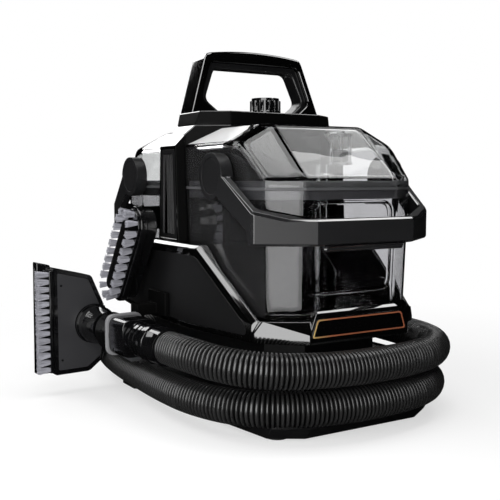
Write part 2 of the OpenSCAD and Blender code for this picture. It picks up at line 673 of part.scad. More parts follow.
module water_pump() color("#c8c8c4") {
    block([pump_x - pump_hw, -12, shoulder_z], [pump_x + pump_hw, 12, shoulder_z + 34]);
    translate([pump_x, 0, shoulder_z + 33]) cylinder(d = 20, h = 30);
    translate([pump_x, 0, shoulder_z + 62]) cylinder(d = 6, h = 8);
}
board_x = column_hw - 21.5;
board_hd = 15;
module circuit_board() color("#1f5a35") {
    block([board_x, -board_hd, shoulder_z], [board_x + 2, board_hd, shoulder_z + 90]);
    for (i = [0:3])
        block([board_x + 1.9, -10, shoulder_z + 12 + 19 * i], [board_x + 7, 8, shoulder_z + 22 + 19 * i]);
    block([board_x - 4, -board_hd, shoulder_z], [board_x + 6, board_hd, shoulder_z + 3]);
}

// ---- tanks: the front one, and the rear one as its mirror image ----

tank_draft = 4; // how far a tank draws in towards its floor
module keepout(gap, z0, z1) upright(inset(column_plan, -tank_gap - gap), z0, z1);
module tank_form(from, z0, z1) difference() {
    hull() {
        upright(inset(tank_plan, tank_draft + from), z0, z0 + skin);
        upright(inset(tank_plan, from), z1 - skin, z1);
    }
    keepout(from, z0 - 1, z1 + 1);
}
window_hw = tank_face - 8;
window_outline = soften([[-window_hw, seat_z + 26], [window_hw, seat_z + 26], [window_hw, tank_top - 13],
    [-window_hw, tank_top - 13]], 12);
module tank_shell(window) difference() {
    tank_form(0, seat_z, tank_top);
    difference() {
        tank_form(tank_wall, seat_z + tank_wall, tank_top + 1);
        if (window) lengthways(inset(window_outline, -tank_wall), -far / 2, -tank_front + 6 + tank_wall);
    }
    if (window) lengthways(window_outline, -far / 2, -tank_front + 6);
}
module front_bin() color([0.35, 0.35, 0.36, 0.45]) difference() {
    tank_shell(true);
    translate([duct_spot.x, duct_spot.y, seat_z - 1]) cylinder(d = pipe_d - 2 * pipe_wall, h = tank_wall + 2);
}
pipe_d = 24;
pipe_wall = 2;
module standpipe() color([0.7, 0.7, 0.7, 0.6]) difference() {
    translate([duct_spot.x, duct_spot.y, seat_z + tank_wall]) cylinder(d = pipe_d, h = lid_z - seat_z + 22);
    translate([duct_spot.x, duct_spot.y, seat_z]) cylinder(d = pipe_d - 2 * pipe_wall, h = far);
}
baffle_t = 2.5;
baffle_rear = 92; // the baffle ends this far from the middle, short of the standpipe
module baffle() color([0.75, 0.75, 0.75, 0.6]) {
    floor_z = seat_z + tank_wall;
    // a vertical foot, and a plate that rises from it towards the middle of the tank
    lengthways([[50, floor_z], [50 + baffle_t, floor_z], [50 + baffle_t, seat_z + 36],
        [6 + baffle_t, seat_z + 96], [6, seat_z + 96], [50, seat_z + 35]],
        -tank_front + tank_draft + tank_wall + 5, -baffle_rear);
}

module gasket_form() {
    difference() {
        rim(0.4, tank_top, lid_z);
        rim(6.2, tank_top - 1, lid_z + 1);
    }
    difference() {
        rim(tank_wall + 0.6, tank_top - 9, lid_z + 6);
        rim(6.2, tank_top - 10, lid_z + 7);
    }
}
module rim(from, z0, z1) difference() {
    upright(inset(tank_plan, from), z0, z1);
    keepout(from, z0 - 1, z1 + 1);
}
module front_gasket() color("#3c3c3e") gasket_form();
module rear_gasket() color("#3c3c3e") rear_half() gasket_form();

// corners of a lid, drawn in by d on every face
function lid_corners(d) = let (
        foot = inset(tank_plan, d),
        low = lid_z + 8 - 0.4 * d,
        rear = tank_rear,
        side = tank_hw - d)
    concat(
        [for (p = foot) [p.x, p.y, lid_z - (d > 0 ? 1 : 0)]],
        [for (p = foot) [p.x, p.y, low]],
        [for (s = [-1, 1]) each [
            [s * side, rear, lid_z + 45 - 0.5 * d], [s * side, -pivot_y, lid_z + 45 - 0.5 * d],
            [s * (side - 4), -pivot_y - 25 + d / 2, lid_z + 44 - 0.5 * d],
            [s * (tank_face + 8 - d / 2), rear, lid_top - d],
            [s * (tank_face + 8 - d / 2), -pivot_y + d / 2, lid_top - d],
            [s * (tank_face - d / 2), -pivot_y - 21 + d, lid_top - 1 - d]]]);
module lid_form(d) difference() {
    hull() polyhedron(points = lid_corners(d), faces = [[for (i = [0:len(lid_corners(d)) - 1]) i]]);
    keepout(d, lid_z - 2, far);
}
pin_len = 9;
boss_len = 1.5;
module lid_shell() {
    difference() {
        lid_form(0);
        lid_form(tank_wall);
    }
    both_sides() {
        bar_x(pivot_d + 5, tank_hw - tank_wall, tank_hw + boss_len, -pivot_y, pivot_z);
        bar_x(pivot_d, tank_hw - tank_wall, tank_hw + boss_len + pin_len, -pivot_y, pivot_z);
    }
}
module front_lid() color([0.6, 0.6, 0.62, 0.4]) lid_shell();

float_spot = [tank_face - 2, -92];
float_d = 18;
float_h = 14;
cage_d = 27;
cage_h = 34;
cage_top = lid_top - tank_wall - 5;
module float_cage() color([0.8, 0.8, 0.8, 0.6]) translate([float_spot.x, float_spot.y, cage_top - cage_h]) {
    difference() {
        cylinder(d = cage_d, h = 2.5);
        translate([0, 0, -1]) cylinder(d = float_d - 5, h = 5);
    }
    translate([0, 0, cage_h - 2.5]) cylinder(d = cage_d, h = 2.5);
    translate([0, 0, cage_h - 1]) cylinder(d = 9, h = 6);
    for (i = [0:5])
        rotate([0, 0, 60 * i]) translate([cage_d / 2 - 1.6, 0, 0]) cylinder(d = 2.6, h = cage_h, $fn = 16);
}
module float_ball() color("#d8d4c8") translate([float_spot.x, float_spot.y, cage_top - cage_h + 2.7])
    rotate_extrude() polygon([[0, 0], [float_d / 2 - 2, 0], [float_d / 2, 2], [float_d / 2, float_h - 2],
        [float_d / 2 - 2, float_h], [0, float_h]]);

module rear_bin() color([0.35, 0.35, 0.36, 0.45]) rear_half() difference() {
    tank_shell(false);
    translate([0, -pivot_y, seat_z - 1]) cylinder(d = valve_d + 2 * run, h = tank_wall + 2);
}
valve_d = 22;
plunger_d = 8;
module outlet_valve() color("#2e2e2e") translate([0, pivot_y, seat_z]) difference() {
    union() {
        cylinder(d = valve_d, h = tank_wall);
        translate([0, 0, tank_wall]) cylinder(d = valve_d + 8, h = 3);
        translate([0, 0, tank_wall + 2]) cylinder(d = valve_d - 6, h = 14);
    }
    translate([0, 0, -1]) cylinder(d = plunger_d + 2 * run, h = far);
    translate([0, 0, 11]) cylinder(d = 12, h = far);
}
module valve_plunger() color("#c9a552") translate([0, pivot_y, seat_z + 0.3]) {
    cylinder(d = plunger_d, h = 14);
    translate([0, 0, 11]) cylinder(d = 11, h = 2.5);
}
cap_spot = [0, 84];
cap_d = 44;
neck_d = 34;
module rear_lid() color([0.35, 0.35, 0.36, 0.45]) difference() {
    union() {
        rear_half() lid_shell();
        translate([cap_spot.x, cap_spot.y, lid_top - 1]) cylinder(d = neck_d, h = 7);
    }
    translate([cap_spot.x, cap_spot.y, lid_top - tank_wall - 1]) cylinder(d = neck_d - 2 * tank_wall, h = 12);
}
module fill_cap() color("#1d1d1d") translate([cap_spot.x, cap_spot.y, lid_top]) difference() {
    cylinder(d = cap_d, h = 10);
    translate([0, 0, -1]) cylinder(d = neck_d + 2 * run, h = 8);
    for (i = [0:15]) rotate([0, 0, i * 22.5]) translate([cap_d / 2 + 1, 0, -1]) cylinder(d = 5, h = 12);
}

// ---- bails ----

bail_hw = tank_hw + 15.5;
hub_in = tank_hw + boss_len + 0.5;
bar_y_out = tank_front + 22;
bar_top = pivot_z - 41;
bail_face = tank_face + 2;
bail_plan = [[-bail_face, -bar_y_out], [bail_face, -bar_y_out], [bail_hw, 23 - bar_y_out],
    [bail_hw, hub_r - pivot_y + 2], [-bail_hw, hub_r - pivot_y + 2], [-bail_hw, 23 - bar_y_out]];
bail_side = strip([-pivot_y, pivot_z], [12 - bar_y_out, bar_top - bar_h / 2], arm_w);
cap_t = 2.5;
bail_cap_d = 2 * hub_r - 10.6;
module bail_body() difference() {
    union() {
        intersection() {
            difference() {
                upright(bail_plan, bar_top - bar_h - 10, pivot_z + hub_r + 10);
                upright(inset(bail_plan, band_t), bar_top - bar_h - 11, pivot_z + hub_r + 11);
                block([band_t - bail_hw, -pivot_y - hub_r, 0], [bail_hw - band_t, 0, far]);
            }
            union() {
                sideways(bail_side, -far / 2, far / 2);
                sideways([[-bar_y_out - 1, bar_top - bar_h], [32 - bar_y_out, bar_top - bar_h],
                    [38 - bar_y_out, bar_top], [-bar_y_out - 1, bar_top]], -far / 2, far / 2);
                bar_x(2 * hub_r, -far / 2, far / 2, -pivot_y, pivot_z);
            }
        }
        both_sides() {
            bar_x(2 * hub_r, hub_in, bail_hw - 3, -pivot_y, pivot_z);
            translate([bail_hw - 3, -pivot_y, pivot_z]) rotate([0, 90, 0])
                cylinder(r1 = hub_r, r2 = hub_r - 3, h = 3);
        }
        block([-50, -bar_y_out + 2, bar_top - bar_h - 6], [50, -bar_y_out + band_t - 1, bar_top - bar_h + 1]);
    }
    both_sides() {
        bar_x(pivot_d + 2 * run, hub_in - 1, tank_hw + boss_len + pin_len + 0.5, -pivot_y, pivot_z);
        bar_x(bail_cap_d, bail_hw - cap_t, bail_hw + 1, -pivot_y, pivot_z);
        // trims the band's square ends back to the hub
        difference() {
            block([hub_in - 1, -pivot_y, 0], [far, far, far]);
            bar_x(2 * hub_r, 0, far, -pivot_y, pivot_z);
            block([0, -far, 0], [far, far, pivot_z - far]);
        }
        difference() {
            block([bail_hw - 3, -pivot_y - hub_r, pivot_z - hub_r], [far, far, far]);
            translate([bail_hw - 3, -pivot_y, pivot_z]) rotate([0, 90, 0])
                cylinder(r1 = hub_r, r2 = hub_r - 3, h = 3);
            translate([0, -pivot_y - hub_r / 2, pivot_z - hub_r / 2]) rotate([45, 0, 0])
                cube([far, far, 2 * hub_r], center = true);
        }
    }
}
module bail_caps() both_sides() bar_x(bail_cap_d - 0.2, bail_hw - cap_t, bail_hw - 0.4, -pivot_y, pivot_z);
module front_bail() color("#262626") bail_body();
module rear_bail() color("#262626") rear_half() bail_body();
module front_bail_caps() color("#1e1e1e") bail_caps();
module rear_bail_caps() color("#1e1e1e") rear_half() bail_caps();

// ---- wand: everything lies along its own Y axis ----

wand_z = 82;
module on_wand() translate([-wand_x - 1, 0, wand_z]) rotate([0, 0, wand_yaw]) children();
cuff_y = [-92.25, -58];
swivel_y = [-58, -30];
grip_y = [-30, 8];
knuckle_y = [8, 45];
spigot_end = 76;
cuff_d = 39;
grip_half = [22.5, 23];

module hose_cuff() color("#0d0d0d") on_wand() difference() {
    union() {
        bar_y(cuff_d, cuff_y[0], cuff_y[1], 0, 0);
        bar_y(cuff_d + 3, cuff_y[1] - 12, cuff_y[1] - 7, 0, 0);
    }
    bar_y(hose_id, cuff_y[0] - 1, cuff_y[1] + 1, 0, 0);
}
module swivel_ring() color("#101010") on_wand() difference() {
    union() {
        bar_y(34, swivel_y[0], swivel_y[1], 0, 0);
        for (y = [swivel_y[0] + 3, swivel_y[0] + 12, swivel_y[0] + 21]) bar_y(38, y, y + 5, 0, 0);
    }
    bar_y(hose_id, swivel_y[0] - 1, swivel_y[1] + 1, 0, 0);
}
pad_t = 5;
grip_square = [[-grip_half.x, -grip_half.y], [grip_half.x, -grip_half.y], [grip_half.x, grip_half.y],
    [-grip_half.x, grip_half.y]];
trigger_axis = [-8, -14]; // y and z of the trigger's pin along the wand
module grip_shell() color("#0c0c0c") on_wand() difference() {
    union() {
        lengthways(soften(inset(grip_square, 2.5), 10), grip_y[0], grip_y[1] - pad_t);
        bar_y(40, grip_y[1] - pad_t - 1, knuckle_y[1] - 8, 0, 0);
        translate([0, knuckle_y[1] - 8, 0]) rotate([-90, 0, 0]) cylinder(d1 = 40, d2 = 30, h = 8);
        bar_y(spigot_d, knuckle_y[1] - 1, spigot_end, 0, 0);
    }
    bar_y(18, grip_y[0] - 1, spigot_end + 1, 0, 0);
    trigger_slot();
    bar_x(trigger_pin_d + 2 * run, -grip_half.x - 1, grip_half.x + 1, trigger_axis.x, trigger_axis.y);
}
module trigger_slot() block([-5.5, grip_y[0] + 2, -30], [5.5, grip_y[1] - pad_t - 3, -10.2]);
module grip_pad() color("#77787a") on_wand() difference() {
    lengthways(soften(grip_square, 11), grip_y[1] - pad_t, grip_y[1]);
    bar_y(40.4, grip_y[0], grip_y[1] + 1, 0, 0);
}
module trigger() color("#5a5b5d") on_wand() {
    sideways(soften([[grip_y[0] + 4, -22], [grip_y[0] + 8, -27], [grip_y[1] - pad_t - 6, -25.5],
        [grip_y[1] - pad_t - 6, -17], [trigger_axis.x + 3, -11.5], [trigger_axis.x - 3, -11.5],
        [grip_y[0] + 8, -17]], 1.5), -5, 5);
    bar_x(trigger_pin_d, -grip_half.x + 4, grip_half.x - 4, trigger_axis.x, trigger_axis.y);
}

// wide tool
tool_y = 84; // where its front face lies along the wand
tool_t = 24;
tool_back_x = -50; // where the tool's lip and bristles start
tool_outline = [[tool_back_x, -57], [-6, -57], [14, -42], [20, -8], [16, 18], [-2, 58], [tool_back_x, 70]];
lip_x = tool_back_x - 16;
module tool_body() color("#0b0b0b") on_wand() difference() {
    union() {
        lengthways(soften(tool_outline, 4), tool_y, tool_y + tool_t);
        lengthways([[lip_x, -56], [tool_back_x + 1, -56], [tool_back_x + 1, 72], [lip_x + 1, 76]],
            tool_y + 11, tool_y + tool_t);
        bar_y(46, tool_y - 4, tool_y + 2, 0, 0);
    }
    lengthways(inset(tool_outline, 3), tool_y + 3, tool_y + tool_t - 3);
    lengthways([[lip_x - 1, -51], [tool_back_x + 5, -51], [tool_back_x + 5, 66], [lip_x - 1, 70]],
        tool_y + 14, tool_y + tool_t - 3);
    lengthways(soften(cover_outline, 3), tool_y - 1, tool_y + cover_t);
    bar_y(spigot_d + 2 * run, tool_y - 10, tool_y + 10, 0, 0);
}
cover_t = 1.6;
cover_outline = inset(tool_outline, 5);
module tool_cover() color("#222224") on_wand() difference() {
    lengthways(soften(inset(cover_outline, 0.2), 3), tool_y + 0.3, tool_y + cover_t);
    bar_y(46.6, tool_y - 10, tool_y + 10, 0, 0);
    for (z = [-40, 48]) bar_y(screw_d - 1, tool_y - 1, tool_y + 5, -40, z);
}
module tool_screws() color("#303030") on_wand() for (z = [-40, 48])
    bar_y(screw_d - 1.2, tool_y + 0.1, tool_y + cover_t, -40, z);
module tool_neck() color("#161616") on_wand() difference() {
    union() {
        translate([0, knuckle_y[1] + 3, 0]) rotate([-90, 0, 0]) cylinder(d1 = 36, d2 = 44, h = 22);
        bar_y(44, knuckle_y[1] + 24, tool_y - 4, 0, 0);
    }
    bar_y(spigot_d + 2 * run, 0, 120, 0, 0);
}
tuft_len = 15;
module tool_bristles() color("#9a9aa0") on_wand() {
    low = -50;
    high = 62;
    pitch = (high - low) / (tool_tufts - 1);
    root_x = tool_back_x - 0.2;
    strip_w = 3.8;
    lengthways([[root_x - strip_w, low - 4], [root_x, low - 4], [root_x, high + 4],
        [root_x - strip_w, high + 4]], tool_y + 1, tool_y + 10.8);
    for (i = [0:tool_tufts - 1]) let (z = low + i * pitch)
        lengthways([[tool_back_x - 3.5, z - 2.2], [tool_back_x - 3.5, z + 2.2],
            [tool_back_x - 3.5 - tuft_len, z + 3.4], [tool_back_x - 3.5 - tuft_len, z - 3.4]],
            tool_y + 2.5, tool_y + 9.5);
}

// the saddle that carries the wand, on the left side of the housing
saddle_y = [13, 27];
module tool_bracket() color("#0a0a0a") difference() {
    union() {
        on_wand() difference() {
            bar_y(40 + 0.6 + 8, saddle_y[0], saddle_y[1], 0, 0);
            block([-far, 0, 3], [far, 60, far]);
        }
        block([-wand_x + 17, saddle_y[0] - 1, wand_z - 10], [-wand_x + 27, saddle_y[1] + 3, wand_z + 30]);
        block([-wand_x + 17, saddle_y[0] - 1, wand_z + 17], [-panel_face, saddle_y[1] + 3, wand_z + 30]);
        block([-panel_face - 6, -10, wand_z + 17], [-panel_face, 36, wand_z + 44]);
    }
    on_wand() bar_y(40 + 0.6, 0, 60, 0, 0);
}

// ---- oval brush: built upright, then leant back along the housing ----

brush_place = [-body_hw - 29.5, 46, 166];
brush_lean = 36;
module on_brush() translate(brush_place) rotate([brush_lean, 0, 0]) children();
// an oval of the given half width and half length, across Y and along Z
function oval(hw, hl) = let (r = hw) concat(
    [for (a = [0:15:180]) [r * cos(a), hl - r + r * sin(a)]],
    [for (a = [180:15:360]) [r * cos(a), -hl + r + r * sin(a)]]);
brush_t = 21;
rail_w = 11;
rail_gap = 0.3;
module brush_body() color("#101010") on_brush() difference() {
    union() {
        sideways(oval(brush_w / 2, brush_len / 2), 0, 8);
        sideways(oval(brush_w / 2 - 3, brush_len / 2 - 3), 7.9, brush_t);
    }
    block([brush_t - 9, -rail_w / 2 - rail_gap, -far], [brush_t + 1, rail_w / 2 + rail_gap, 15 + rail_gap]);
}
module brush_bracket() color("#0a0a0a") {
    intersection() {
        on_brush() block([brush_t - 9 + rail_gap, -rail_w / 2, -15], [60, rail_w / 2, 15]);
        block([-far, -far, 0], [-body_hw, far, far]);
    }
}
module brush_bristles() color("#9a9aa0") on_brush() {
    difference() {
        sideways(oval(brush_w / 2 - 3, brush_len / 2 - 3), -2.5, 0);
        sideways(oval(brush_w / 2 - 11, brush_len / 2 - 11), -3, 1);
    }
    straight = brush_len / 2 - brush_w / 2;
    for (i = [0:brush_tufts - 1]) let (
            r = brush_w / 2 - 7,
            path = 4 * straight + 2 * PI * r,
            s = i * path / brush_tufts,
            arc = PI * r,
            on_top = s >= 2 * straight && s < 2 * straight + arc,
            on_low = s >= 4 * straight + arc,
            a = on_top ? (s - 2 * straight) / r * 180 / PI
                : on_low ? 180 + (s - 4 * straight - arc) / r * 180 / PI
                : s < 2 * straight ? 0 : 180,
            z = on_top ? straight
                : on_low ? -straight
                : s < 2 * straight ? s - straight : 3 * straight + arc - s)
        translate([-2, 0, z]) rotate([a, 0, 0]) translate([0, r, 0])
            lengthways([[0, -2.6], [0, 2.6], [2 - tuft_len, 4.2], [2 - tuft_len, -4.2]], -3, 3);
}

base_pan();
base_feet();
base_screws();
hose_core();
suction_duct();
hose_port();
hose();
housing();
left_side_panel();
right_side_panel();
badge_plate();
badge_trim();
cord_gland();
column();
left_grille();
right_grille();
top_deck();
handle_frame();
handle_grip();
control_dial();
dial_switch();
fan_scroll();
impeller();
vacuum_motor();
motor_cushion();
steam_boiler();
water_pump();
circuit_board();
front_bin();
standpipe();
baffle();
front_gasket();
front_lid();
float_cage();
float_ball();
front_bail();
front_bail_caps();
rear_bin();
outlet_valve();
valve_plunger();
rear_gasket();
rear_lid();
fill_cap();
rear_bail();
rear_bail_caps();
hose_cuff();
swivel_ring();
grip_shell();
grip_pad();
trigger();
tool_bracket();
tool_body();
tool_cover();
tool_screws();
tool_neck();
tool_bristles();
brush_bracket();
brush_body();
brush_bristles();
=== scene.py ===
from math import copysign, cos, hypot, pi, radians, sin

import bmesh
import bpy
from mathutils import Matrix, Vector


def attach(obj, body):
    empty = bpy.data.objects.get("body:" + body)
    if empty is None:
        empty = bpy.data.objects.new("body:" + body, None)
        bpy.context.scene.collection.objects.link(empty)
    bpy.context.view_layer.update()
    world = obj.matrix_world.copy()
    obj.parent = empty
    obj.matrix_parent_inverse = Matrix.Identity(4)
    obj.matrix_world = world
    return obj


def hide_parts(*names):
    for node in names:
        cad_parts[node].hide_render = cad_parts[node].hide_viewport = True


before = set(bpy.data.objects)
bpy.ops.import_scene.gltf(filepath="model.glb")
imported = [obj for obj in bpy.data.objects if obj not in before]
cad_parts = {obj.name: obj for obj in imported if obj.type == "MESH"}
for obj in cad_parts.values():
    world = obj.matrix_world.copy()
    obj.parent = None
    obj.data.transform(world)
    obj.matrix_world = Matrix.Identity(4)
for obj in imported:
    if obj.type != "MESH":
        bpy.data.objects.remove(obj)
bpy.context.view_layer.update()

bl_info = {
    "name": "Spot extractor",
    "version": (1, 0, 0),
    "blender": (4, 5, 0),
    "location": "3D View > Sidebar > Extractor",
    "description": "Dresses a portable spot extractor: shells, clear tanks, ribbed hose and cleaning tools",
    "category": "Add Mesh",
}

MM = 0.001

# ---------------------------------------------------------------- sizes, in millimetres
# These repeat the places of the construction, so that a piece made here lies on its solid.
WALL = 3
TANK_HW, TANK_REAR, TANK_DRAFT = 103.5, 16.5, 4
SEAT_Z, TANK_TOP, LID_Z, LID_TOP = 115, 243, 246, 312
PIVOT_Y, PIVOT_Z, HUB_RADIUS = 105, 257, 23.7
DUCT_SPOT, NECK_SPOT = (40, -72), (0, 84)
DECK_Z, HANDLE_TOP = 330, 404
TANK_PLAN = [(-58, -190), (58, -190), (93, -168), (103.5, -105), (103.5, 10), (-103.5, 10), (-103.5, -105),
             (-93, -168)]
COLUMN_PLAN = [(-104.5, -15), (-60, -45), (60, -45), (104.5, -15), (104.5, 15), (60, 45), (-60, 45), (-104.5, 15)]
WINDOW_CORNERS = [(-50, 141), (50, 141), (50, 230), (-50, 230)]
# The places of the wand and of the brush, and the forward lean of the handle above the deck.
WAND_TURN = Matrix.Translation((-0.169, 0, 0.082)) @ Matrix.Rotation(radians(5), 4, "Z")
HANDLE_RAKE = Matrix(((1, 0, 0, 0), (0, 1, 0.12, -0.12 * DECK_Z * MM), (0, 0, 1, 0), (0, 0, 0, 1)))
BRUSH_TURN = Matrix.Translation((-0.150, 0.046, 0.166)) @ Matrix.Rotation(radians(36), 4, "X")

# The hose from its port, twice round the base and up to the cuff of the wand.
HOSE_ROUTE = [
    (132, 38, 34), (132, 20.5, 34), (132, 3, 34), (132.5, -15, 34), (134, -50, 34), (135, -95, 34),
    (131, -140, 34), (117, -176, 34), (90, -202, 34), (55, -216, 34), (10, -222, 34), (-35, -220, 34),
    (-75, -210, 34), (-110, -189, 34), (-133, -157, 34), (-146, -115, 34), (-150, -70, 34),
    (-150, -20, 34), (-148, 34, 34), (-144, 82, 34), (-136, 128, 34), (-119, 168, 34.5),
    (-90, 198, 38), (-50, 215, 45), (-5, 219, 53), (40, 216, 61), (82, 205, 67), (116, 182, 70.5),
    (138, 145, 71.5), (146, 100, 71.5), (149, 50, 71.5), (150, 0, 71.5), (150, -50, 71.5),
    (147, -100, 71.5), (140, -145, 71.5), (122, -180, 71.5), (90, -207, 71.5), (50, -220, 71.5),
    (0, -225, 71.5), (-50, -222, 72), (-95, -211, 73.5), (-126, -192, 76), (-146, -166, 79),
    (-155, -141, 81.5), (-158, -127, 82), (-159.5, -109.5, 82), (-161, -92, 82)]

# How many steps a softened corner has, how many points along the hose draw one rib, how much of a rib's wave its
# flat crest takes, how far a cutter runs past what it cuts, and how much rounder a wall's edges are inside.
CORNER_STEPS, RIB_POINTS, CREST, OVERRUN, ROOM_ROUND = 6, 9.0, 0.05, 3, 2.5
# An edge is long enough to be rounded from so many times its radius. A chamfer's own edges have a share of its width.
LONG_EDGE, CHAMFER_EDGE = 2.2, 0.22
# A point of an outline and its place along an axis, as a point in space.
ALONG = {"x": lambda p, t: (t, p[0], p[1]), "y": lambda p, t: (p[0], t, p[1]), "z": lambda p, t: (p[0], p[1], t)}


# ---------------------------------------------------------------- small helpers

def linear(code, share=1.0):
    """The linear colour of an sRGB hex code with full alpha, made lighter or darker by a share."""
    parts = [int(code[i:i + 2], 16) / 255 for i in (1, 3, 5)]
    return (*[min(1, share * (c / 12.92 if c <= 0.04045 else ((c + 0.055) / 1.055) ** 2.4)) for c in parts], 1)


def hex_code(values):
    """The hex code of a colour on the panel."""
    return "#%02x%02x%02x" % tuple(round(255 * c) for c in values)


def feed(tree, node, inputs):
    """Gives a node's inputs values or links."""
    for key, value in inputs.items():
        if isinstance(value, bpy.types.NodeSocket):
            tree.links.new(value, node.inputs[key])
        else:
            node.inputs[key].default_value = value
    return node


def add(tree, kind, inputs=None, **settings):
    """Adds a node with its settings, and feeds its inputs."""
    node = tree.nodes.new(kind)
    for name, value in settings.items():
        setattr(node, name, value)
    return feed(tree, node, inputs or {})


def calc(tree, operation, *values):
    """The result of one operation on numbers or sockets."""
    return add(tree, "ShaderNodeMath", dict(enumerate(values)), operation=operation).outputs[0]


def inset(points, d):
    """Moves every edge of a counter-clockwise outline inwards by d."""
    pts, out = [Vector(p) for p in points], []
    for i, p in enumerate(pts):
        a, b = (p - pts[i - 1]).normalized(), (pts[(i + 1) % len(pts)] - p).normalized()
        na, nb = Vector((-a.y, a.x)), Vector((-b.y, b.x))
        out.append(p + d * (na + nb) / (1 + na.dot(nb)))
    return out


def soften(points, r):
    """Rounds every corner of an outline, starting r before it."""
    pts, out = [Vector(p) for p in points], []
    for i, p in enumerate(pts):
        back, on = pts[i - 1] - p, pts[(i + 1) % len(pts)] - p
        a = p + min(r, 0.49 * back.length) * back.normalized()
        b = p + min(r, 0.49 * on.length) * on.normalized()
        for k in range(CORNER_STEPS + 1):
            t = k / CORNER_STEPS
            out.append((1 - t) ** 2 * a + 2 * t * (1 - t) * p + t * t * b)
    return out


def disc(radius, sides=64, middle=(0, 0)):
    """A circle as an outline."""
    return [(middle[0] + radius * cos(a), middle[1] + radius * sin(a))
            for a in (2 * pi * k / sides for k in range(sides))]


def oval(half_width, half_length):
    """An oval of two half circles and two straights, as an outline."""
    r, a = half_width, [radians(15 * k) for k in range(13)]
    return ([(r * cos(t), half_length - r + r * sin(t)) for t in a]
            + [(r * cos(t + pi), r - half_length + r * sin(t + pi)) for t in a])


def link(name, data, *materials):
    """A new object of a mesh or other data, at the world origin."""
    made = bpy.data.objects.new(name, data)
    bpy.context.scene.collection.objects.link(made)
    for m in materials:
        made.data.materials.append(m)
    return made


def from_bmesh(name, bm, *materials):
    """A new object of the faces that were built, which are then let go."""
    mesh = bpy.data.meshes.new(name)
    bm.to_mesh(mesh)
    bm.free()
    return link(name, mesh, *materials)


def loft(name, rings):
    """A skin through rings of points, each with as many points, capped at its ends. In millimetres."""
    bm = bmesh.new()
    rows = [[bm.verts.new([c * MM for c in p]) for p in ring] for ring in rings]
    n = len(rows[0])
    for low, high in zip(rows, rows[1:]):
        for k in range(n):
            bm.faces.new((low[k], low[(k + 1) % n], high[(k + 1) % n], high[k]))
    bm.faces.new(list(reversed(rows[0])))
    bm.faces.new(rows[-1])
    bmesh.ops.recalc_face_normals(bm, faces=bm.faces)
    return from_bmesh(name, bm)


def prism(name, outline, low, high, axis="z"):
    """A prism along an axis."""
    return loft(name, [[ALONG[axis](p, t) for p in outline] for t in (low, high)])


def slab(name, outline, low, high, radius, axis="y", flare=False):
    """A prism along an axis with rounded rims, or a cutter that rounds the rims of what it cuts."""
    turns = [pi / 2 * k / 4 for k in range(5)]
    rim = [(radius * (1 - sin(a)) * (-1 if flare else 1), radius * (1 - cos(a))) for a in turns]
    levels = [(d, low + t) for d, t in rim] + [(d, high - t) for d, t in reversed(rim)]
    if flare:
        levels = [(levels[0][0], low - OVERRUN)] + levels + [(levels[-1][0], high + OVERRUN)]
    return loft(name, [[ALONG[axis](p, t) for p in inset(outline, d)] for d, t in levels])


def hull(name, points, radius):
    """The convex form round some points in millimetres, with its edges rounded. Faces within 1.5 degrees merge."""
    bm = bmesh.new()
    for p in points:
        bm.verts.new([c * MM for c in p])
    made = bmesh.ops.convex_hull(bm, input=bm.verts)
    loose = [g for g in made["geom_interior"] + made["geom_unused"] if isinstance(g, bmesh.types.BMVert)]
    bmesh.ops.delete(bm, geom=list(set(loose)), context="VERTS")
    bmesh.ops.dissolve_limit(bm, angle_limit=radians(1.5), verts=bm.verts, edges=bm.edges)
    bmesh.ops.bevel(bm, geom=bm.edges[:], offset=radius * MM, segments=3, profile=0.5, affect="EDGES",
                    clamp_overlap=True)
    bmesh.ops.recalc_face_normals(bm, faces=bm.faces)
    return from_bmesh(name, bm)


def made_mesh(obj):
    """The plain mesh that an object's modifiers make."""
    graph = bpy.context.evaluated_depsgraph_get()
    graph.update()
    mesh = bpy.data.meshes.new_from_object(obj.evaluated_get(graph), depsgraph=graph)
    obj.modifiers.clear()
    return mesh


def settle(obj):
    """Turns what an object's modifiers make into its plain mesh."""
    mesh = made_mesh(obj)
    old, obj.data = obj.data, mesh
    mesh.name = obj.name
    if not old.users:
        bpy.data.meshes.remove(old)
    return obj


def carve(obj, *tools, operation="DIFFERENCE"):
    """Cuts tools out of an object, or joins them to it, and removes them."""
    for tool in tools:
        mod = obj.modifiers.new("carve", "BOOLEAN")
        mod.operation, mod.solver, mod.object = operation, "EXACT", tool
        settle(obj)
        bpy.data.objects.remove(tool)
    return obj


def trim(obj, point, normal):
    """Cuts an object along a plane, keeps what lies behind it and closes the cut."""
    bm = bmesh.new()
    bm.from_mesh(obj.data)
    cut = bmesh.ops.bisect_plane(bm, geom=bm.verts[:] + bm.edges[:] + bm.faces[:], clear_outer=True,
                                 plane_co=Vector(point) * MM, plane_no=normal)
    bmesh.ops.holes_fill(bm, edges=[g for g in cut["geom_cut"] if isinstance(g, bmesh.types.BMEdge)])
    bm.to_mesh(obj.data)
    bm.free()
    return obj


def shade(obj, sharp=40):
    """Smooth faces up to an angle, with flat faces kept flat by their area."""
    mesh = obj.data
    mesh.shade_smooth()
    mesh.set_sharp_from_angle(angle=radians(sharp))
    mod = obj.modifiers.new("flat faces", "WEIGHTED_NORMAL")
    mod.keep_sharp, mod.weight = True, 60
    return obj


def mirrored(obj):
    """Turns a piece of the front into its mirror image at the rear."""
    obj.data.transform(Matrix.Scale(-1, 4, (0, 1, 0)))
    obj.data.flip_normals()
    return obj


def bevel_edges(obj, radius, steps, **limit):
    """Bevels the edges of an object for good, by their weights or by their angle."""
    mod = obj.modifiers.new("edges", "BEVEL")
    mod.width, mod.segments, mod.use_clamp_overlap, mod.miter_outer = radius * MM, steps, False, "MITER_ARC"
    for name, value in limit.items():
        setattr(mod, name, value)
    return settle(obj)


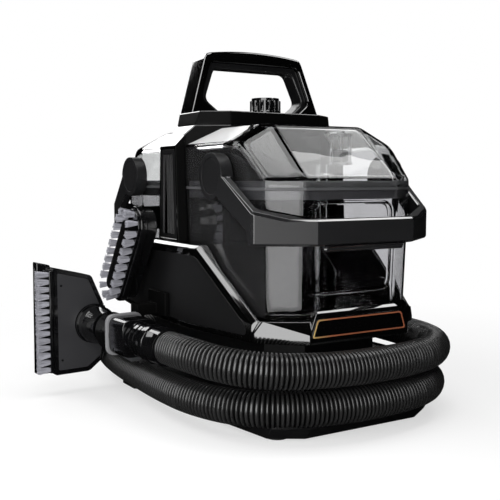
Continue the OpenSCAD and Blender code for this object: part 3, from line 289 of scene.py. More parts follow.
def rounded(node, name, radius, material, sharp_from=24, shortest=None, chamfer=None, bent=None, parted=False):
    """A copy of a solid with its flat faces merged and its long sharp edges rounded, or chamfered in a finish.

    Edges count as sharp from an angle in degrees, and as long from a length. bent gives the copy's points their new
    places first. parted leaves a ring's flat faces in triangles, so that its opening stays open."""
    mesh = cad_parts[node].data.copy()
    bm = bmesh.new()
    bm.from_mesh(mesh)
    bmesh.ops.remove_doubles(bm, verts=bm.verts, dist=1e-5)
    bmesh.ops.dissolve_degenerate(bm, dist=1e-5, edges=bm.edges)
    bmesh.ops.dissolve_limit(bm, angle_limit=radians(0.7), verts=bm.verts, edges=bm.edges)
    if parted:
        bmesh.ops.triangulate(bm, faces=bm.faces)
    if bent:
        for v in bm.verts:
            v.co = bent(v.co / MM) * MM
    layer = bm.edges.layers.float.new("bevel_weight_edge")
    least = (LONG_EDGE * radius if shortest is None else shortest) * MM
    for e in bm.edges:
        if len(e.link_faces) == 2 and e.calc_length() >= least and e.calc_face_angle(0) > radians(sharp_from):
            e[layer] = 1.0
    bm.to_mesh(mesh)
    bm.free()
    mesh.materials.clear()
    if not chamfer:
        return shade(bevel_edges(link(name, mesh, material), radius, 3, limit_method="WEIGHT"))
    made = bevel_edges(link(name, mesh, material, chamfer), radius, 1, limit_method="WEIGHT", material=1)
    return shade(bevel_edges(made, CHAMFER_EDGE * radius, 2, limit_method="ANGLE", angle_limit=radians(19)))


def stands_for(obj, body, slot, *nodes):
    """Puts a finished piece on its body, in the place of the solids it stands for; its slot is not used."""
    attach(obj, body)
    if nodes:
        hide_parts(*nodes)
    return obj


def repaint(obj, finish, test):
    """Gives the faces of an object that pass a test, on their middle in millimetres, another finish."""
    obj.data.materials.append(FINISH[finish])
    for face in obj.data.polygons:
        if test(face.center / MM, face.normal):
            face.material_index = len(obj.data.materials) - 1
    return obj


def dressed(body, *rows):
    """Rounded pieces for a body, each from its node, name, radius, finish, slot and how its edges are made."""
    for node, name, radius, finish, slot, *how in rows:
        stands_for(rounded(node, name, radius, FINISH[finish], **(how[0] if how else {})), body, slot, node)


def placed(obj, place, finish):
    """Takes a piece from its own axes to its place, and gives it its finish."""
    obj.data.transform(place)
    obj.data.materials.append(FINISH[finish])
    return obj


# ---------------------------------------------------------------- materials

def new_material(name):
    """An empty material with its shader, and the coordinates in metres on the object."""
    material = bpy.data.materials.new(name)
    material.use_nodes = True
    tree = material.node_tree
    return material, tree, tree.nodes["Principled BSDF"], add(tree, "ShaderNodeTexCoord").outputs["Object"]


def noise(tree, place, spacing, detail):
    """Noise with its clouds a spacing apart, in millimetres."""
    return add(tree, "ShaderNodeTexNoise", {"Vector": place, "Scale": 1 / (spacing * MM),
                                            "Detail": detail}).outputs["Fac"]


def remap(tree, value, low, high, start=0.0, end=1.0, **settings):
    """A number that goes from low to high as a value goes from start to end."""
    return add(tree, "ShaderNodeMapRange", {"Value": value, "From Min": start, "From Max": end, "To Min": low,
                                            "To Max": high}, **settings).outputs["Result"]


def bump(tree, height, depth, strength=1.0):
    """The normal of a relief that is so many millimetres deep."""
    return add(tree, "ShaderNodeBump", {"Height": height, "Distance": depth * MM,
                                        "Strength": strength}).outputs["Normal"]


def ramp(tree, value, colours, positions=(0.0, 1.0)):
    """The colour that a value picks between two others."""
    node = add(tree, "ShaderNodeValToRGB", {"Fac": value})
    for end, colour, position in zip(node.color_ramp.elements, colours, positions):
        end.position, end.color = position, colour
    return node.outputs["Color"]


def clouded(tree, place, colour, tint, spacing=60):
    """A colour that drifts a little lighter and darker from place to place."""
    return ramp(tree, noise(tree, place, spacing, 2.0), (linear(colour, 1 - tint), linear(colour, 1 + tint)),
                (0.3, 0.7))


def moulded(name, colour, rough, grain, relief, tint=0.12, coat=0.0, spec=0.5):
    """Injection-moulded plastic: a colour with slight clouding, and the grain of the tool's face.

    grain is the spacing of the grain in millimetres and relief its depth."""
    material, tree, shader, place = new_material(name)
    fine = noise(tree, place, grain, 3.0)
    feed(tree, shader, {"Base Color": clouded(tree, place, colour, tint), "Normal": bump(tree, fine, relief),
                        "Roughness": remap(tree, fine, rough * 0.88, rough * 1.12, 0.3, 0.7), "IOR": 1.53,
                        "Specular IOR Level": spec, "Coat Weight": coat, "Coat Roughness": 0.02})
    return material


def hose_skin(name, colour):
    """Blown EVA: waxy crests, and grooves painted near black and without gloss, as painted shade."""
    material, tree, shader, place = new_material(name)
    groove = add(tree, "ShaderNodeAttribute", attribute_name="groove").outputs["Fac"]
    # Painted shade: the colour goes to near black in the grooves.
    skin = add(tree, "ShaderNodeMix", {"Factor": groove, 6: clouded(tree, place, colour, 0.15, 90),
                                       7: linear("#010101")}, data_type="RGBA").outputs[2]
    wax = noise(tree, place, 3, 3.0)
    # The gloss goes in the grooves too, with the painted shade.
    feed(tree, shader, {"Base Color": skin, "Roughness": remap(tree, wax, 0.24, 0.34),
                        "Specular IOR Level": remap(tree, groove, 0.75, 0.0), "Normal": bump(tree, wax, 0.03)})
    return material


def clear_wall(name, colour, rough, ior=1.42, pass_share=1.0):
    """Moulded polycarbonate: light passes the wall, takes its tint and wavers where it flowed."""
    material, tree, shader, place = new_material(name)
    feed(tree, shader, {"Base Color": clouded(tree, place, colour, 0.03, 25), "Roughness": rough, "IOR": ior,
                        "Normal": bump(tree, noise(tree, place, 30, 1.0), 0.2, 0.5),
                        "Transmission Weight": pass_share})
    return material


def metal(name, colour, rough, grain, metallic=1.0):
    """Bare metal with the marks of how it was made, grain millimetres apart."""
    material, tree, shader, place = new_material(name)
    marks = noise(tree, place, grain, 4.0)
    feed(tree, shader, {"Base Color": clouded(tree, place, colour, 0.06, 8), "Metallic": metallic,
                        "Roughness": remap(tree, marks, rough * 0.7, rough * 1.3),
                        "Normal": bump(tree, marks, 0.05, 0.5)})
    return material


def copper_paint(name):
    """Metallic paint on the badge's raised line: copper that turns to gold towards its left end."""
    material = metal(name, "#cf7c57", 0.5, 0.8, 0.6)
    tree = material.node_tree
    across = add(tree, "ShaderNodeSeparateXYZ", {0: add(tree, "ShaderNodeTexCoord").outputs["Object"]}).outputs["X"]
    turn = remap(tree, across, 0.0, 1.0, -60 * MM, -36 * MM)
    feed(tree, tree.nodes["Principled BSDF"],
         {"Base Color": ramp(tree, turn, (linear("#f2d288"), linear("#cf7c57")))})
    return material


def bristle_nylon(name, colour):
    """Extruded nylon filament, slightly see-through, each bristle a little lighter or darker."""
    material, tree, shader, _ = new_material(name)
    tone = add(tree, "ShaderNodeAttribute", attribute_name="tone").outputs["Fac"]
    feed(tree, shader, {"Base Color": ramp(tree, tone, (linear(colour, 0.62), linear(colour, 1.1))),
                        "Roughness": 0.38, "Sheen Weight": 0.15})
    return material


FINISH = {}


def mix_finishes():
    """Makes every finish once, after the colours of the panel's settings."""
    look = bpy.context.scene.extractor_look
    code = {n: hex_code(getattr(look, n + "_colour")) for n in ("gloss", "satin", "bail", "hose", "pad", "bristle")}
    FINISH.update(
        # Piano-black ABS from a polished tool, under a clear coat: near black with mirror-like edges.
        gloss=moulded("gloss_black_abs", code["gloss"], 0.06, 8, 0.002, coat=1.0, spec=0.8),
        # ABS from a spark-eroded tool: an even charcoal that spreads its light.
        satin=moulded("eroded_black_abs", code["satin"], 0.45, 0.8, 0.02),
        # Inside the wells the same ABS is left rough and stays dark behind the clear tanks.
        well=moulded("rough_black_abs", "#050505", 0.6, 1.0, 0.02, spec=0.08),
        # The tools' shells come from a polished tool without a coat: bright, slightly wavy reflections.
        tool=moulded("polished_black_abs", "#0a0a0b", 0.1, 5, 0.003, spec=0.8),
        # Glass-filled nylon: the fibres give the bails a dark grey, soft sheen.
        bail=moulded("glass_filled_nylon", code["bail"], 0.38, 1.2, 0.008, spec=0.22),
        # The bails' chamfers come from a polished part of the tool and catch bright lines of light.
        bail_edge=moulded("polished_nylon_edge", code["bail"], 0.14, 1.2, 0.004, coat=1.0, spec=1.0),
        # The wide tool's cover: a finer erosion in a lighter grey.
        cover=moulded("matt_grey_abs", "#303032", 0.38, 0.8, 0.015),
        # Blown EVA, with painted shade in its grooves.
        hose=hose_skin("blown_eva_hose", code["hose"]),
        # Soft TPE: matt and slightly grey.
        rubber=moulded("soft_tpe", "#1d1d1e", 0.62, 0.7, 0.03),
        # The carry grip's TPE comes from a finer tool, so it still catches a soft line of light.
        grip=moulded("grip_tpe", "#161617", 0.3, 0.9, 0.01),
        # Silicone seal, matt, mid grey through the clear lid.
        gasket=moulded("silicone_gasket", "#4b4b4d", 0.5, 1.2, 0.01),
        # TPE pad over the wand's knuckle: a flat mid grey with a faint grain.
        pad=moulded("grey_tpe_pad", code["pad"], 0.5, 0.9, 0.02, tint=0.05),
        # Unpainted polypropylene of the inner parts: dull dark grey.
        grey=moulded("grey_polypropylene", "#3f4042", 0.4, 1.0, 0.01),
        # Skinned foam of the float: dark grey with fine cells.
        foam=moulded("closed_cell_foam", "#4c4c4e", 0.8, 0.8, 0.08),
        # Varnished circuit board: green with a soft shine.
        board=moulded("glass_epoxy_board", "#1f5a35", 0.3, 0.6, 0.01),
        bristle=bristle_nylon("nylon_bristle", code["bristle"]),
        # The lids are the clearest: nearly colourless polycarbonate.
        clear=clear_wall("clear_polycarbonate", "#f4f5f5", 0.01),
        # The front tank's walls are thicker, with a faint grey tint; the rear tank's are tinted more.
        tank=clear_wall("tinted_polycarbonate", "#e4e4e6", 0.015),
        smoked=clear_wall("smoked_polycarbonate", "#c9c9cb", 0.02),
        # The lids' upper side facets are painted partly opaque white, a painted reflection of the light from above.
        frosted=clear_wall("frosted_polycarbonate", "#fafafa", 0.3, pass_share=0.35),
        # The side walls get a faint white haze over the dark inside: a painted sheen.
        hazed=clear_wall("hazed_polycarbonate", "#d6d6d8", 0.03, pass_share=0.986),
        # The walls beside the column are tinted nearly black, slightly rough and with a low IOR: painted shade, so
        # that they take on the column's darkness.
        etched=clear_wall("etched_polycarbonate", "#2c2c2d", 0.06, ior=1.08),
        copper=copper_paint("copper_paint"),
        # Barrel-plated screws: bright, slightly pitted.
        steel=metal("zinc_plated_steel", "#b9bcc0", 0.3, 0.4),
        # Blackened screws of the wide tool: dark, with a dull shine.
        screw=metal("blackened_steel", "#0c0c0d", 0.5, 0.4, 0.5),
        # Sand-cast housings of the motor and heater: grainy and dull.
        cast=metal("cast_aluminium", "#a9abae", 0.45, 1.2),
        # Turned brass of the valve: warm, with fine tool marks.
        brass=metal("turned_brass", "#c9a552", 0.28, 0.4))


# ---------------------------------------------------------------- settings

def colour_setting(what, value):
    """The colour of something on the panel, in the sRGB values of a colour code."""
    return bpy.props.FloatVectorProperty(name=what.capitalize(), description=f"Colour of the {what}", size=3, min=0,
                                         max=1, subtype="COLOR_GAMMA", default=value)


def length_setting(label, words, value):
    """A length on the panel, in metres."""
    return bpy.props.FloatProperty(name=label, description=words, default=value, unit="LENGTH", subtype="DISTANCE")


class ExtractorLook(bpy.types.PropertyGroup):
    """Colours of the finishes."""
    gloss_colour: colour_setting("gloss shells", (.016, .016, .017))
    satin_colour: colour_setting("satin shells", (.055, .055, .057))
    bail_colour: colour_setting("tank bails", (.11, .11, .112))
    hose_colour: colour_setting("suction hose", (.14, .14, .142))
    pad_colour: colour_setting("wand's soft pad", (.47, .47, .48))
    bristle_colour: colour_setting("bristles", (.66, .66, .69))


class ExtractorSizes(bpy.types.PropertyGroup):
    """Sizes of the repeated and rounded details."""
    rib_count: bpy.props.IntProperty(name="Ribs", description="Number of ribs along the hose", default=431, min=60)
    rib_depth: length_setting("Rib depth", "Depth of the groove between two ribs", 0.0024)
    bristle_width: length_setting("Bristle", "Thickness of one bristle", 0.0008)
    bristle_spread: bpy.props.FloatProperty(name="Spread", description="How much wider a tuft is at its tips",
                                            default=2.3, min=1)
    wall_round: length_setting("Clear edges", "Rounding of the clear tanks' edges", 0.0035)


class ExtractorStage(bpy.types.PropertyGroup):
    """Light and floor."""
    floor_colour: colour_setting("floor", (.96, .96, .96))
    floor_glow: bpy.props.FloatProperty(name="Floor glow", default=0.6, min=0, max=1,
                                        description="Share of white that the floor shows by itself")
    lamp_scale: bpy.props.FloatProperty(name="Lamps", description="Strength of all the lamps", default=1.0, min=0)
    fill: bpy.props.FloatProperty(name="Fill", description="Strength of the light from all round", default=0.2, min=0)


# ---------------------------------------------------------------- camera

class EXTRACTOR_OT_camera(bpy.types.Operator):
    """Places the camera to the left of the front, a little above the machine's middle"""
    bl_idname = "extractor.camera"
    bl_label = "Camera"

    def execute(self, context):
        azimuth, elevation = radians(31.07), radians(5.08)
        # The focal length is 815.6 pixels where the view is 500 pixels wide.
        data = bpy.data.cameras.new("camera")
        data.sensor_width, data.lens = 36, 36 * 815.6 / 500
        camera = link("camera", data)
        forward = Vector((sin(azimuth) * cos(elevation), cos(azimuth) * cos(elevation),
                          -sin(elevation)))
        camera.location = (-0.51416, -0.84019, 0.25585)
        camera.rotation_euler = forward.to_track_quat("-Z", "Y").to_euler()
        data.clip_start, data.clip_end = 0.05, 50
        context.scene.camera = camera
        return {"FINISHED"}


# ---------------------------------------------------------------- shapes grown by node trees

def smooth_route(points, steps):
    """The curve through all points, with that many steps from each to the next."""
    pts = [Vector(p) for p in points]
    ends = [2 * pts[0] - pts[1]] + pts + [2 * pts[-1] - pts[-2]]
    out = []
    for i in range(1, len(pts)):
        p, q, r, s = ends[i - 1:i + 3]
        for k in range(steps):
            t = k / steps
            out.append(0.5 * (2 * q + (r - p) * t + (2 * p - 5 * q + 4 * r - s) * t ** 2
                              + (-p + 3 * q - 3 * r + s) * t ** 3))
    return [p * MM for p in out + [pts[-1]]]


def new_tree(name, **inputs):
    """A geometry tree with named inputs, each given as its kind and value, and what it is fed with."""
    tree = bpy.data.node_groups.new(name, "GeometryNodeTree")
    tree.interface.new_socket("Geometry", in_out="INPUT", socket_type="NodeSocketGeometry")
    for label, (kind, value) in inputs.items():
        socket = tree.interface.new_socket(label, in_out="INPUT", socket_type="NodeSocket" + kind)
        if value is not None:
            socket.default_value = value
    tree.interface.new_socket("Geometry", in_out="OUTPUT", socket_type="NodeSocketGeometry")
    return tree, add(tree, "NodeGroupInput").outputs


def grown(tree, name, data, values):
    """The plain mesh that a node tree makes of some data, with the tree's inputs set by their sockets."""
    source = link(name, data)
    mod = source.modifiers.new(name, "NODES")
    mod.node_group = tree
    for item in tree.interface.items_tree:
        if item.item_type == "SOCKET" and item.in_out == "INPUT" and item.name in values:
            mod[item.identifier] = values[item.name]
    mesh = made_mesh(source)
    mesh.name = name
    bpy.data.objects.remove(source)
    if not len(mesh.polygons):
        raise RuntimeError(f"{name} came out empty")
    return link(name, mesh)


def finished(tree, geometry, finish):
    """Ends a tree with its geometry made real, in a finish."""
    real = add(tree, "GeometryNodeRealizeInstances", {"Geometry": geometry})
    painted = add(tree, "GeometryNodeSetMaterial", {"Geometry": real.outputs[0], "Material": finish})
    add(tree, "NodeGroupOutput", {"Geometry": painted.outputs[0]})
    return tree


def stored(tree, geometry, name, value, data_type, domain="POINT"):
    """Geometry that carries a value under a name."""
    return add(tree, "GeometryNodeStoreNamedAttribute", {"Geometry": geometry, "Name": name, "Value": value},
               data_type=data_type, domain=domain).outputs[0]


def rib_tree():
    """A tree that sweeps a circle along a line and draws it in between the ribs."""
    tree, source = new_tree("ribbed_hose", Radius=("Float", 0.0175), Ribs=("Int", 431), Depth=("Float", 0.0024),
                            Finish=("Material", None))
    count = calc(tree, "MULTIPLY_ADD", source["Ribs"], RIB_POINTS, 1.0)
    line = add(tree, "GeometryNodeResampleCurve", {"Curve": source["Geometry"], "Count": count}, mode="COUNT")
    along = calc(tree, "MULTIPLY", add(tree, "GeometryNodeSplineParameter").outputs["Factor"], source["Ribs"])
    wave = calc(tree, "COSINE", calc(tree, "MULTIPLY", along, 2 * pi))
    over = calc(tree, "MAXIMUM", calc(tree, "MULTIPLY_ADD", wave, 1 / (1 + CREST), CREST / (1 + CREST)), 0.0)
    groove = calc(tree, "POWER", over, 0.6)
    # The groove's depth is kept on the points, for the painted shade of the hose's skin.
    marked = stored(tree, line.outputs[0], "groove", groove, "FLOAT")
    radius = calc(tree, "SUBTRACT", source["Radius"], calc(tree, "MULTIPLY", groove, source["Depth"]))
    circle = add(tree, "GeometryNodeCurvePrimitiveCircle", {"Resolution": 24, "Radius": 1.0})
    skin = add(tree, "GeometryNodeCurveToMesh", {"Curve": marked, "Profile Curve": circle.outputs["Curve"],
                                                 "Scale": radius, "Fill Caps": True})
    smooth = add(tree, "GeometryNodeSetShadeSmooth", {"Geometry": skin.outputs[0]})
    return finished(tree, smooth.outputs[0], source["Finish"])


def tuft_tree():
    """A tree that plants tufts of bristles on points, along each point's aim and spread along its row."""
    tree, source = new_tree("bristle_tufts", Width=("Float", 0.0033), Deep=("Float", 0.006), Length=("Float", 0.015),
                            Spread=("Float", 1.75), Thickness=("Float", 0.0008), Across=("Int", 9),
                            Rows=("Int", 6), Seed=("Int", 7), Finish=("Material", None))

    def recalled(name):
        return add(tree, "GeometryNodeInputNamedAttribute", {"Name": name}, data_type="FLOAT_VECTOR").outputs[0]

    def facing():
        return add(tree, "FunctionNodeAxesToRotation", {"Primary Axis": recalled("aim"),
                                                        "Secondary Axis": recalled("row")},
                   primary_axis="Z", secondary_axis="X").outputs[0]

    def vector(**parts):
        return add(tree, "ShaderNodeCombineXYZ", parts).outputs[0]

    def sums(operation, *values):
        return add(tree, "ShaderNodeVectorMath", dict(enumerate(values)), operation=operation).outputs[0]

    def drawn(low, high):
        return add(tree, "FunctionNodeRandomValue", {0: low, 1: high, "Seed": source["Seed"]},
                   data_type="FLOAT_VECTOR").outputs[0]

    patch = add(tree, "GeometryNodeMeshGrid", {"Size X": source["Width"], "Size Y": source["Deep"],
                                               "Vertices X": source["Across"], "Vertices Y": source["Rows"]})
    spots = stored(tree, patch.outputs["Mesh"], "spot", add(tree, "GeometryNodeInputPosition").outputs[0],
                   "FLOAT_VECTOR")
    patches = add(tree, "GeometryNodeInstanceOnPoints", {"Points": source["Geometry"], "Instance": spots,
                                                         "Rotation": facing()})
    roots = add(tree, "GeometryNodeRealizeInstances", {"Geometry": patches.outputs[0]})

    # A bristle leans out the more, the further it stands from the middle of its tuft, and strays a little.
    more = calc(tree, "SUBTRACT", source["Spread"], 1.0)
    out = sums("MULTIPLY", recalled("spot"), vector(X=more, Y=calc(tree, "MULTIPLY", more, 0.3)))
    stray = drawn((-0.0004, -0.0004, 0), (0.0004, 0.0004, 0))
    lean = sums("ADD", sums("ADD", out, vector(Z=source["Length"])), stray)
    tilt = add(tree, "FunctionNodeAlignRotationToVector", {"Vector": lean}, axis="Z")
    turned = add(tree, "FunctionNodeRotateRotation", {"Rotation": facing(), "Rotate By": tilt.outputs[0]},
                 rotation_space="LOCAL")

    rod = add(tree, "GeometryNodeMeshCylinder", {"Vertices": 4, "Depth": source["Length"],
                                                 "Radius": calc(tree, "MULTIPLY", source["Thickness"], 0.5)})
    half = vector(Z=calc(tree, "MULTIPLY", source["Length"], 0.5))
    raised = add(tree, "GeometryNodeTransform", {"Geometry": rod.outputs["Mesh"], "Translation": half})
    bristles = add(tree, "GeometryNodeInstanceOnPoints", {"Points": roots.outputs[0], "Instance": raised.outputs[0],
                                                          "Rotation": turned.outputs[0],
                                                          "Scale": drawn((1, 1, 0.94), (1, 1, 1.0))})
    tone = add(tree, "FunctionNodeRandomValue", {2: 0.0, 3: 1.0, "Seed": source["Seed"]}, data_type="FLOAT")
    toned = stored(tree, bristles.outputs[0], "tone", tone.outputs[1], "FLOAT", "INSTANCE")
    return finished(tree, toned, source["Finish"])


def tufts(name, place, roots, **values):
    """Tufts of bristles on roots, each a point with its aim and its row, all in a tool's own axes."""
    sizes = bpy.context.scene.extractor_sizes
    mesh = bpy.data.meshes.new(name)
    mesh.from_pydata([place @ (Vector(p) * MM) for p, aim, row in roots], [], [])
    turn = place.to_3x3()
    for k, label in ((1, "aim"), (2, "row")):
        layer = mesh.attributes.new(label, "FLOAT_VECTOR", "POINT")
        for item, root in zip(layer.data, roots):
            item.vector = turn @ Vector(root[k])
    tree = bpy.data.node_groups.get("bristle_tufts") or tuft_tree()
    return grown(tree, name, mesh, {"Spread": sizes.bristle_spread, "Thickness": sizes.bristle_width,
                                    "Finish": FINISH["bristle"], **values})


# ---------------------------------------------------------------- hose and shells

class EXTRACTOR_OT_hose(bpy.types.Operator):
    """Winds the ribbed hose twice round the base, from its port to the wand's cuff"""
    bl_idname = "extractor.hose"
    bl_label = "Hose"

    def execute(self, context):
        sizes = context.scene.extractor_sizes
        cuff = stands_for(rounded("hose_cuff", "wand_cuff", 0.8, FINISH["tool"], shortest=1.5),
                          "root", "satin_black", "hose_cuff")
        route = smooth_route(HOSE_ROUTE, 8)
        curve = bpy.data.curves.new("hose_line", "CURVE")
        curve.dimensions = "3D"
        spline = curve.splines.new("POLY")
        spline.points.add(len(route) - 1)
        for point, p in zip(spline.points, route):
            point.co = (*p, 1)
        hose = grown(rib_tree(), "suction_hose", curve, {"Radius": 0.0175, "Ribs": sizes.rib_count,
                                                         "Depth": sizes.rib_depth, "Finish": FINISH["hose"]})
        bm = bmesh.new()
        bm.from_mesh(hose.data)
        bmesh.ops.recalc_face_normals(bm, faces=bm.faces)
        bm.to_mesh(hose.data)
        bm.free()
        stands_for(hose, "root", "hose_black", "hose")
        return {"FINISHED"}


class EXTRACTOR_OT_base(bpy.types.Operator):
    """Rounds the base pan"""
    bl_idname = "extractor.base"
    bl_label = "Base"

    def execute(self, context):
        dressed("root", ("base_pan", "pan_shell", 1.0, "satin", "satin_black"),
                ("hose_port", "port_shell", 1.0, "satin", "satin_black"))
        return {"FINISHED"}


class EXTRACTOR_OT_housing(bpy.types.Operator):
    """Rounds the housing, its side panels, the column, its grilles and the deck"""
    bl_idname = "extractor.housing"
    bl_label = "Housing"

    def execute(self, context):
        dressed("root", ("housing", "housing_shell", 0.9, "gloss", "gloss_black"),
                ("left_side_panel", "left_panel", 0.4, "satin", "satin_black"),
                ("right_side_panel", "right_panel", 0.4, "satin", "satin_black"),
                ("left_grille", "left_louvre", 0.7, "satin", "satin_black"),
                ("right_grille", "right_louvre", 0.7, "satin", "satin_black"))
        # Where it faces the tanks the column keeps the tool's eroded face, as the deck does round its rim; only
        # what shows outside is polished.
        column = rounded("column", "column_shell", 1.2, FINISH["gloss"])
        repaint(column, "well", lambda p, n: p.z < 300 and (abs(p.x) < 104 or abs(n.y) > 0.4))
        stands_for(column, "root", "gloss_black", "column")
        deck = rounded("top_deck", "deck_shell", 1.5, FINISH["gloss"])
        repaint(deck, "well", lambda p, n: abs(n.z) < 0.4)
        stands_for(deck, "root", "gloss_black", "top_deck")
        return {"FINISHED"}


class EXTRACTOR_OT_badge(bpy.types.Operator):
    """Finishes the bare badge place and its copper line"""
    bl_idname = "extractor.badge"
    bl_label = "Badge"

    def execute(self, context):
        dressed("root", ("badge_plate", "badge_face", 0.2, "gloss", "satin_black"),
                ("badge_trim", "badge_outline", 0.12, "copper", "copper_trim"))
        return {"FINISHED"}


def handle_opening(d):
    """The opening inside the handle, d millimetres smaller, from below the deck upwards."""
    half = [(54, 318), (54, 330), (74.35, 346), (60.35, 389)]
    right = [(x - d, z - (d if z > 346 else 0)) for x, z in half]
    return soften(right + [(-x, z) for x, z in reversed(right)], 7)


def raked(obj, finish):
    """Leans a piece of the handle forwards, and cuts it off at the deck."""
    return shade(trim(placed(obj, HANDLE_RAKE, finish), (0, 0, DECK_Z), (0, 0, -1)))


class EXTRACTOR_OT_handle(bpy.types.Operator):
    """Makes the carry handle and the soft grip inside it"""
    bl_idname = "extractor.handle"
    bl_label = "Handle"

    def execute(self, context):
        # The top is a low arch, 4.5 mm down at its ends; only its corners are softened, the feet stay sharp.
        arch = [((1 - k / 4) * 62.15, HANDLE_TOP - 4.5 * (1 - k / 4) ** 2) for k in range(9)]
        foot, shoulder = (94.35, 310), (66.2, 396.5)
        corners = soften([foot, shoulder] + arch + [(-shoulder[0], shoulder[1]), (-foot[0], foot[1])], 6)
        outer = [(-foot[0], foot[1]), foot] + corners[CORNER_STEPS + 1:-CORNER_STEPS - 1]
        frame_piece = carve(slab("carry_handle", outer, -7, 26, 3.2),
                            slab("hole", handle_opening(0), -7, 26, 2.2, flare=True))
        stands_for(raked(frame_piece, "gloss"), "root", "gloss_black", "handle_frame")
        grip = carve(slab("carry_grip", handle_opening(0.15), -2, 21, 0.8),
                     slab("hole", handle_opening(7), -2, 21, 3.0, flare=True))
        stands_for(raked(grip, "grip"), "root", "soft_rubber", "handle_grip")
        return {"FINISHED"}


# ---------------------------------------------------------------- tanks and lids

def column_space(gap):
    """What the column keeps free behind a tank, grown by a gap."""
    return prism("column_space", inset(COLUMN_PLAN, -1.5 - gap), 90, 340)


def faces_column(p, n):
    """Whether a face of a front tank or lid belongs to the walls beside the column, or to their ends."""
    return p.y > -60 and abs(n.z) < 0.3 and (min(abs(n.x), abs(n.y)) > 0.3 or p.y > -25 and n.y > 0.9)


def walled(outer, inner):
    """Trims a front form and its room behind, and clears the column's space out of both."""
    for form, wall in ((outer, 0), (inner, WALL)):
        trim(form, (0, -TANK_REAR - wall, 0), (0, 1, 0))
        carve(form, column_space(wall))


def tank_piece(name, finish, window):
    """A front tank: a drawn-in box of even wall with rounded edges, open at its top."""
    edge = bpy.context.scene.extractor_sizes.wall_round / MM
    # The box runs on above its top along its draft, and is trimmed there, so that its rim isn't rounded.
    above = TANK_TOP + 19
    outer = hull(name, [(*p, SEAT_Z) for p in inset(TANK_PLAN, TANK_DRAFT)]
                 + [(*p, above) for p in inset(TANK_PLAN, -0.594)], edge)
    trim(outer, (0, 0, TANK_TOP), (0, 0, 1))
    inner = hull("room", [(*p, SEAT_Z + WALL) for p in inset(TANK_PLAN, TANK_DRAFT + WALL)]
                 + [(*p, above) for p in inset(TANK_PLAN, WALL - 0.6)], edge + ROOM_ROUND)
    walled(outer, inner)
    if window:
        # The window's recess steps in through the front wall: how far it is drawn in, at each place in y.
        sill = soften(WINDOW_CORNERS, 12)
        rim = [(-3, -200), (-2, -190.4), (-1.1, -189.5), (-0.4, -188.5), (0, -187.3), (0, -185.8), (0.5, -184.6),
               (1.4, -184)]
        carve(inner, slab("pad", inset(sill, -WALL), -212, -184 + WALL, 1.2))
        carve(outer, loft("recess", [[(p[0], y, p[1]) for p in inset(sill, d)] for d, y in rim]))
    spot, radius = (DUCT_SPOT, 10) if window else ((0, -PIVOT_Y), 11.05)
    carve(outer, inner)
    carve(outer, prism("hole", disc(radius, 48, spot), SEAT_Z - 2, SEAT_Z + WALL + 2))
    outer.data.materials.append(FINISH[finish])
    # The front tank's side walls get a faint white haze as painted sheen.
    if window:
        repaint(outer, "hazed", lambda p, n: abs(n.x) > 0.93)
    # The walls beside the column, and their ends, are tinted nearly black as painted shade.
    return repaint(outer, "etched", faces_column)


def lid_corners(d, low):
    """The corners of a lid's faceted form, drawn in by d, from a level upwards.

    An upright foot, sides up to 45 mm, slopes to a flat top 132 mm wide, and a sloping face at the front."""
    foot = inset(TANK_PLAN, d)
    side = TANK_HW - d
    top = [(*p, z) for z in (low, LID_Z + 8 - 0.4 * d) for p in foot]
    for s in (-1, 1):
        top += [(s * side, 10, LID_Z + 45 - 0.5 * d), (s * side, -PIVOT_Y, LID_Z + 45 - 0.5 * d),
                (s * (side - 4), -PIVOT_Y - 25 + d / 2, LID_Z + 44 - 0.5 * d), (s * (66 - d / 2), 10, LID_TOP - d),
                (s * (66 - d / 2), -PIVOT_Y + d / 2, LID_TOP - d),
                (s * (58 - d / 2), -PIVOT_Y - 21 + d, LID_TOP - 1 - d)]
    return top


def lid_piece(name, painted_sheen_sides):
    """A front lid: a faceted dome of even wall with rounded edges, and a pin on each side."""
    edge = bpy.context.scene.extractor_sizes.wall_round / MM
    outer = hull(name, lid_corners(0, LID_Z - 12), edge)
    trim(outer, (0, 0, LID_Z), (0, 0, -1))
    inner = hull("room", lid_corners(WALL, LID_Z - 16), edge + ROOM_ROUND)
    walled(outer, inner)
    carve(outer, inner)
    # Each side has a pin for the bail, with a collar at its root.
    for s in (-1, 1):
        for radius, reach in ((10.5, 105), (8, 114)):
            ends = sorted((s * 101.5, s * reach))
            carve(outer, prism("pin", disc(radius, 48, (-PIVOT_Y, PIVOT_Z)), *ends, "x"), operation="UNION")
    outer.data.materials.append(FINISH["clear"])
    # The upper side facets get the painted reflection of the light from above.
    repaint(outer, "frosted", lambda p, n: 0.4 < abs(n.x) < 0.6 and abs(n.y) < 0.1 and p.z > LID_Z + 42)
    # The lid's side walls can get the same painted sheen.
    if painted_sheen_sides:
        repaint(outer, "hazed", lambda p, n: abs(n.x) > 0.93 and abs(p.y) < 150)
    # The walls beside the column, and their ends, are tinted nearly black as painted shade.
    return repaint(outer, "etched", faces_column)


class EXTRACTOR_OT_tanks(bpy.types.Operator):
    """Makes the clear tanks with their seals, the standpipe and the baffle"""
    bl_idname = "extractor.tanks"
    bl_label = "Tanks"

    def execute(self, context):
        stands_for(shade(tank_piece("front_tank_shell", "tank", True), 30), "front_tank", "smoked_clear", "front_bin")
        rear = mirrored(tank_piece("rear_tank_shell", "smoked", False))
        stands_for(shade(rear, 30), "rear_tank", "smoked_clear", "rear_bin")
        dressed("front_tank", ("front_gasket", "front_seal", 0.5, "gasket", "soft_rubber", {"parted": True}),
                ("standpipe", "clear_standpipe", 0.4, "clear", "clear"),
                ("baffle", "clear_baffle", 0.6, "clear", "clear"))
        dressed("rear_tank", ("rear_gasket", "rear_seal", 0.5, "gasket", "soft_rubber", {"parted": True}))
        return {"FINISHED"}


